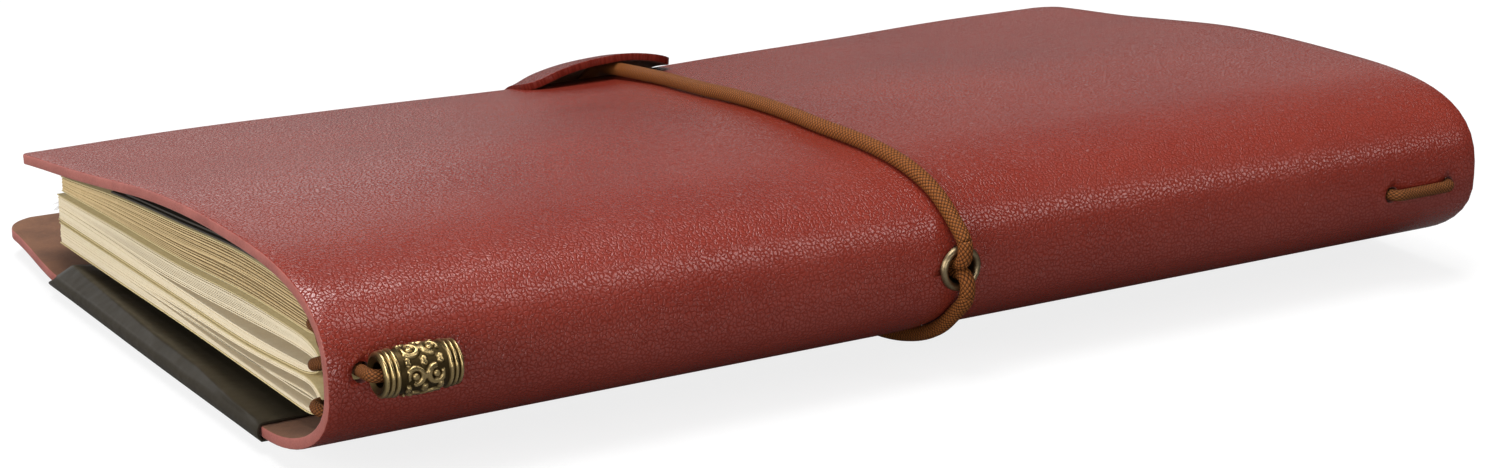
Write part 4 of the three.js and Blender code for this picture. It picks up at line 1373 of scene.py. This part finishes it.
@dataclass
class Booklet:
    """A stapled booklet: its card cover and its nested leaves."""

    ground: Ground
    stack: Stack
    finishes: Finishes
    layer: Layer
    name: str
    leaves: int
    thickness: float
    paper: Material
    opening: Opening
    bunches: Sequence[int]
    trim: float
    seed: int

    def sheet(self, name: str, sheet: Sheet, half: Half, ends: tuple, sag: float) -> Piece:
        """Bend a grid to one folded sheet.

        Args:
            name: The piece's name.
            sheet: The sheet's section.
            half: Which side of the fold is kept.
            ends: How far each end of the sheet stands past the booklet's end.
            sag: Unevenness along the sheet.

        Returns:
            The sheet without thickness.
        """
        line = sheet.line(34, half)
        rows = len(line) - 1
        near, far = -self.stack.length / 2 - ends[0], self.stack.length / 2 + ends[1]

        def shape(a: Array, b: Array) -> Array:
            i = np.rint(b * rows).astype(int)
            x = near + (far - near) * a
            y, z = line[i, 0], line[i, 1]
            loose = smoothstep(25, 70, y)
            z = z + sag * waves(x, y, self.seed, 90.0) * loose
            return np.stack([x, y, z], axis=1)

        return bend_grid(name, 10, rows, shape, self.ground)

    def bunched(self) -> list[float]:
        """Share each leaf's depth near the fold, where leaves lie in bunches with gaps between them."""
        if not self.bunches:
            return [(i + 0.6) / (self.leaves + 0.4) for i in range(self.leaves)]
        tight = 0.3 / self.leaves
        room = (1 - tight * self.leaves) / len(self.bunches)
        depths, depth = [], 0.02
        for i in range(self.leaves):
            depths.append(depth)
            depth += tight + (room if i + 1 in self.bunches else 0.0)
        return depths

    def block(self, half: Half) -> Piece:
        """Build the leaves of one half or of the whole booklet as one object of thin sheets."""
        rng = np.random.default_rng(self.seed)
        pieces = []
        bunched = self.bunched()
        for i in range(self.leaves):
            nest = (i + 0.5) / self.leaves
            jitter = rng.uniform(-1, 1, 4)
            trim = self.trim + 0.4 + 0.2 * abs(jitter[0])
            sheet = Sheet(self.stack, self.layer, self.opening, nest, bunched[i], 0.33, trim)
            ends = (-0.05 + 0.08 * jitter[1], -0.05 + 0.08 * jitter[2])
            pieces.append(self.sheet(f"{self.name}_leaf_{i}", sheet, half, ends, 0.02 * jitter[3]))
        block = join(pieces, f"{self.name}_leaves_{half.value}")
        dress(block, self.paper)
        thicken(block, self.thickness)
        return block

    def cover(self, half: Half) -> Piece:
        """Build the card cover of one half or of the whole booklet."""
        sheet = Sheet(self.stack, self.layer, self.opening, 0.0, 0.0, 0.12, self.trim)
        piece = self.sheet(f"{self.name}_card_{half.value}", sheet, half, (0.0, 0.0), 0.0)
        dress(piece, self.finishes.card)
        thicken(piece, 0.2, bevel=0.05)
        return piece

    def place(
        self, half: Half, body: Body, cover_nodes: Iterable[str], leaf_nodes: Iterable[str], slot: str
    ) -> None:
        """Build a half or the whole, attach it to its body and hide the CAD nodes that it stands for."""
        card, block = self.cover(half), self.block(half)
        for piece, nodes, finish in ((card, cover_nodes, "card_stock"), (block, leaf_nodes, slot)):
            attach(piece, body.value)
            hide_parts(*nodes)


# Plastic


@dataclass
class Plastics:
    """The card holder, the clear pocket and the smoked sleeve."""

    ground: Ground
    stack: Stack
    finishes: Finishes

    def sheet(
        self,
        name: str,
        low: float,
        high: float,
        half: float,
        height: Shape,
        cells: int = 30,
        out: float = 0.0,
    ) -> Piece:
        """Bend a flat sheet between two distances from the folds.

        Args:
            name: The piece's name.
            low: Where it starts, in reach from the folds.
            high: Where it ends.
            half: Half of its length.
            height: Its height from X and reach.
            cells: Cells across it.
            out: How far its near end stands out past that.

        Returns:
            The sheet without thickness.
        """

        def shape(a: Array, b: Array) -> Array:
            x = (2 * a - 1) * half - out * (1 - a)
            reach = low + (high - low) * b
            return np.stack([x, self.stack.fold + reach, height(x, reach)], axis=1)

        return bend_grid(name, 40, cells, shape, self.ground)

    def build_cards(self) -> list[Piece]:
        """Build the card holder: a folded panel and the sheets of its pockets."""
        half, steps = 99.5, 8
        panels = ((0.2, 7.2, 83, 0.0), (0.75, 7.6, 76, 0.35), (1.7, 7.2, 82.6, 0.25))
        turn = np.linspace(-QUARTER, QUARTER, steps + 1)
        fold = np.stack([7.2 - 0.6 * np.cos(turn), 0.95 + 0.75 * np.sin(turn)], axis=1)

        def floor(reach: Array) -> Array:
            return self.stack.floor(Layer.CARDS, reach)

        def height(seed: int, rise: float, lift: float) -> Shape:
            return lambda x, reach: (
                floor(reach) + rise + lift * smoothstep(60, 100, -x) * 0.4
                + 0.05 * waves(x, reach, seed, 60.0)
            )

        def wrap(a: Array, b: Array) -> Array:
            reach, rise = fold[np.rint(b * steps).astype(int)].T
            return np.stack([(2 * a - 1) * half, self.stack.fold + reach, floor(reach) + rise], axis=1)

        pieces = [
            self.sheet(f"card_panel_{i}", low, high, half, height(20 + i, rise, lift), out=5.5)
            for i, (rise, low, high, lift) in enumerate(panels)
        ]
        pieces.append(bend_grid("card_fold", 4, steps, wrap, self.ground))
        holder = join(pieces, "card_holder_sheets")
        dress(holder, self.finishes.dark)
        thicken(holder, 0.3)
        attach(holder, Body.FAN.value)
        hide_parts("card_holder", "card_pocket_sheet")
        return [holder]

    def build_pocket(self) -> list[Piece]:
        """Build the clear pocket: two plies whose near corner curls down past the booklets."""
        edge = 114.5

        def height(rise: float) -> Shape:
            def curl(x: Array, reach: Array) -> Array:
                floor = self.stack.floor(Layer.POCKET, np.minimum(reach, self.stack.width))
                drop = 5.5 * smoothstep(107.5, edge, reach) * smoothstep(76, 104, -x) * (0.6 + rise)
                return floor + rise - drop

            return curl

        plies = [
            self.sheet(f"clear_ply_{i}", 6, edge, 104, height(rise), 44)
            for i, rise in enumerate((0.08, 0.33))
        ]
        pocket = join(plies, "clear_pocket_plies")
        dress(pocket, self.finishes.clear)
        thicken(pocket, 0.14)
        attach(pocket, Body.BACK.value)
        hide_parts("clear_pocket")
        return [pocket]

    def build_sleeve(self) -> list[Piece]:
        """Build the sleeve: one sheet folded round the near end of the back cover."""
        sheet, rows = 0.36, 72
        outer, inner = 38.0, 55.0
        floor = -0.3 - sheet / 2
        plane = 2.1 + sheet / 2
        stations = (25.5, 36.0, 52.0, 71.0, 88.0, 112.5)
        ridge_x = (-109.6, -110.0, -108.8, -108.7, -107.9, -106.8)
        ridge_z = (2.3, 2.8, 3.2, 3.3, 3.4, 3.5)

        def shape(a: Array, b: Array) -> Array:
            y = 25.5 + 91.0 * a
            edge = -109.75 + 0.35 * smoothstep(60, 116, y)
            crest_x, crest_z = np.interp(y, stations, ridge_x), np.interp(y, stations, ridge_z)
            under = np.clip(b / 0.25, 0, 1)
            side = np.clip((b - 0.25) / 0.15, 0, 1)
            lean = np.clip((b - 0.4) / 0.15, 0, 1)
            over = np.clip((b - 0.55) / 0.45, 0, 1)
            bulge = 0.45 * np.sin(math.pi * side)
            shoulder = edge - 0.25
            x = np.where(b < 0.25, edge + outer * (1 - under), edge + (shoulder - edge) * side - bulge)
            z = np.where(b < 0.25, floor, floor + (plane - floor - 0.2) * side)
            x = np.where(b > 0.4, shoulder + (crest_x - shoulder) * lean, x)
            z = np.where(b > 0.4, plane - 0.2 + (crest_z - plane + 0.2) * lean, z)
            reach = inner * over**1.5
            settle = np.exp(-((reach / 5.0) ** 1.6))
            ripple = 0.14 * waves(y, reach * 3.0, 12, 40.0) * smoothstep(2, 9, reach)
            x = np.where(b > 0.55, crest_x + reach, x)
            z = np.where(b > 0.55, plane + 0.1 + (crest_z - plane - 0.1) * settle + ripple, z)
            y = y - 4.4 * smoothstep(0.25, 0.4, b) * smoothstep(104, 116.5, y)
            return np.stack([x, y, z], axis=1)

        piece = bend_grid("smoked_sleeve", 60, rows, shape, self.ground)
        dress(piece, self.finishes.smoke)
        thicken(piece, sheet, bevel=0.08)
        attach(piece, Body.SLEEVE.value)
        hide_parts("plastic_sleeve")
        return [piece]


# Studio


@dataclass
class Studio:
    """The pale floor, the lamps and the camera."""

    ground: Ground
    eye: tuple = (-299.0, -423.4, 177.9)
    heading: float = 31.64
    pitch: float = 16.75
    roll: float = 0.15
    focal: float = 3398.0
    centre: tuple = (755.8, 229.7)
    picture: tuple = (1500, 468)
    sensor: float = 36.0
    lamps: tuple = (
        ("overhead", 16.0, (1.1, 0.5), (-0.1, 0.1, 1.15), (0, 0, 0)),
        ("bend", 4.2, (0.2, 1.3), (0.72, -0.7, 1.1), (0, 0, 0)),
        ("behind", 4.2, (2.3, 0.6), (-0.3, 1.5, 0.41), (0, 0, 0.03)),
        ("behind right", 0.9, (1.0, 0.6), (1.4, 1.5, 0.41), (0, 0, 0.03)),
        ("left", 18.5, (1.2, 0.8), (-1.45, -0.25, 0.45), (-0.05, 0, 0.02)),
        ("front left", 6.5, (1.2, 0.3), (-0.4, -1.4, 0.17), (0.05, 0, 0.02)),
    )

    def camera(self) -> None:
        """Set the camera where the photograph was taken from."""
        data = bpy.data.cameras.new("view")
        camera = bpy.data.objects.new("view", data)
        bpy.context.collection.objects.link(camera)
        data.sensor_fit = "HORIZONTAL"
        data.sensor_width = self.sensor
        data.lens = self.focal / self.picture[0] * self.sensor
        data.shift_x = 0.5 - self.centre[0] / self.picture[0]
        data.shift_y = (self.centre[1] - self.picture[1] / 2) / self.picture[0]
        data.clip_end = 50.0
        camera.location = self.ground.point(*self.eye)
        turn = Euler((math.radians(90 - self.pitch), 0, -math.radians(self.heading)), "XYZ").to_matrix()
        tilt = Euler((0, 0, math.radians(self.roll)), "XYZ").to_matrix()
        camera.rotation_euler = (turn @ tilt).to_euler()
        bpy.context.scene.camera = camera

    def floor(self) -> None:
        """Lay the pale floor, which the camera sees as white with the notebook's shadow on it."""
        deselect()
        bpy.ops.mesh.primitive_plane_add(size=8.0, location=(0, 0, 0))
        plane = bpy.context.object
        plane.name = "floor"
        n = Nodes("studio floor")
        n.set(Base_Color=(0.2, 0.2, 0.2, 1), Roughness=0.9, Specular_IOR_Level=0.0)
        n.set(Emission_Color=(1, 1, 1, 1))
        glow = n.math("MULTIPLY", (n.add("LightPath"), "Is Camera Ray"), 0.82)
        n.link(glow, n.shader, "Emission Strength")
        dress(plane, n.material)

    def lamp(self, name: str, power: float, size: tuple, at: tuple, aim: tuple) -> None:
        """Hang a softbox.

        Args:
            name: The lamp's name.
            power: Watts.
            size: Width and height in metres.
            at: Its place in metres.
            aim: The point that it faces.
        """
        data = bpy.data.lights.new(name, "AREA")
        data.shape = "RECTANGLE"
        data.size, data.size_y = size
        data.energy = power
        lamp = bpy.data.objects.new(name, data)
        bpy.context.collection.objects.link(lamp)
        lamp.location = at
        lamp.rotation_euler = (Vector(aim) - Vector(at)).to_track_quat("-Z", "Y").to_euler()

    def build(self) -> None:
        """Build the studio."""
        self.camera()
        self.floor()
        world = bpy.data.worlds.new("studio")
        world.use_nodes = True
        tree = world.node_tree
        sky = tree.nodes["Background"]
        path = tree.nodes.new("ShaderNodeLightPath")
        level = tree.nodes.new("ShaderNodeMapRange")
        level.inputs["To Min"].default_value = 0.06
        level.inputs["To Max"].default_value = 1.0
        tree.links.new(path.outputs["Is Camera Ray"], level.inputs["Value"])
        tree.links.new(level.outputs["Result"], sky.inputs["Strength"])
        sky.inputs["Color"].default_value = (1, 1, 1, 1)
        bpy.context.scene.world = world
        bpy.context.scene.view_settings.view_transform = "Standard"
        for lamp in self.lamps:
            self.lamp(*lamp)


def dress_kept_nodes(finishes: Finishes) -> None:
    """Dress the CAD nodes that stay: the staples and the eyelet's washer."""
    for obj in bpy.data.objects:
        if obj.type != "MESH":
            continue
        if "_staple_" in obj.name:
            dress(obj, finishes.steel)
        elif obj.name == "eyelet_washer":
            dress(obj, finishes.eyelet)


def main() -> None:
    """Build the notebook in order and report each part of it."""
    logging.basicConfig(level=logging.INFO, format="%(name)s %(message)s")
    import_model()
    ground = Ground()
    outline = Outline()
    stack = Stack()
    Studio(ground).build()
    finishes = Finishes()
    LOG.info("cover %s", [o.name for o in Cover(ground, outline, finishes).build()])
    LOG.info("tongue %s", Tongue(ground, finishes).build().name)
    LOG.info("eyelet %s", Eyelet(ground, finishes).build().name)
    LOG.info("bead %s", Bead(ground, finishes).build().name)
    cords = Cords(ground, outline, stack, finishes)
    LOG.info("closure cord %s", [o.name for o in cords.build_closure()])
    LOG.info("binding cord %s", [o.name for o in cords.build_binding()])
    shared = (ground, stack, finishes)
    slit = Opening((0.3, 0.5, 0.2, 0.0), 24.0, 0.5, 7.0)
    three = Booklet(*shared, Layer.THREE, "booklet_3", 10, 0.16, finishes.cream, slit, (8,), 0.8, 31)
    three.place(Half.WHOLE, Body.BACK, ["booklet_3_cover"], ["booklet_3_leaves"], "cream_paper")
    wedge = Opening((1.7, 2.2, 1.9, 1.3, 0.7, 0.2, 0.0), 76.0, 0.35, 8.0)
    two = Booklet(*shared, Layer.TWO, "booklet_2", 12, 0.17, finishes.cream, wedge, (), 0.6, 22)
    two.place(Half.WHOLE, Body.BACK, ["booklet_2_cover"], ["booklet_2_leaves"], "cream_paper")
    fan, bunches = Opening((0.5, 0.4, 0.2, 0.0), 40.0, 0.5, 4.0), (1, 2, 4, 6, 7)
    one = Booklet(*shared, Layer.ONE, "booklet_1", 9, 0.15, finishes.kraft, fan, bunches, 3.0, 13)
    one.place(Half.BACK, Body.BACK, ["booklet_1_cover_back"], ["booklet_1_leaves_back"], "kraft_paper")
    one.place(Half.FRONT, Body.FAN, ["booklet_1_cover_front"], ["booklet_1_leaves_front"], "kraft_paper")
    LOG.info("booklets built")
    plastics = Plastics(*shared)
    for build in (plastics.build_cards, plastics.build_pocket, plastics.build_sleeve):
        LOG.info("plastic %s", [o.name for o in build()])
    dress_kept_nodes(finishes)


if __name__ == "__main__":
    main()
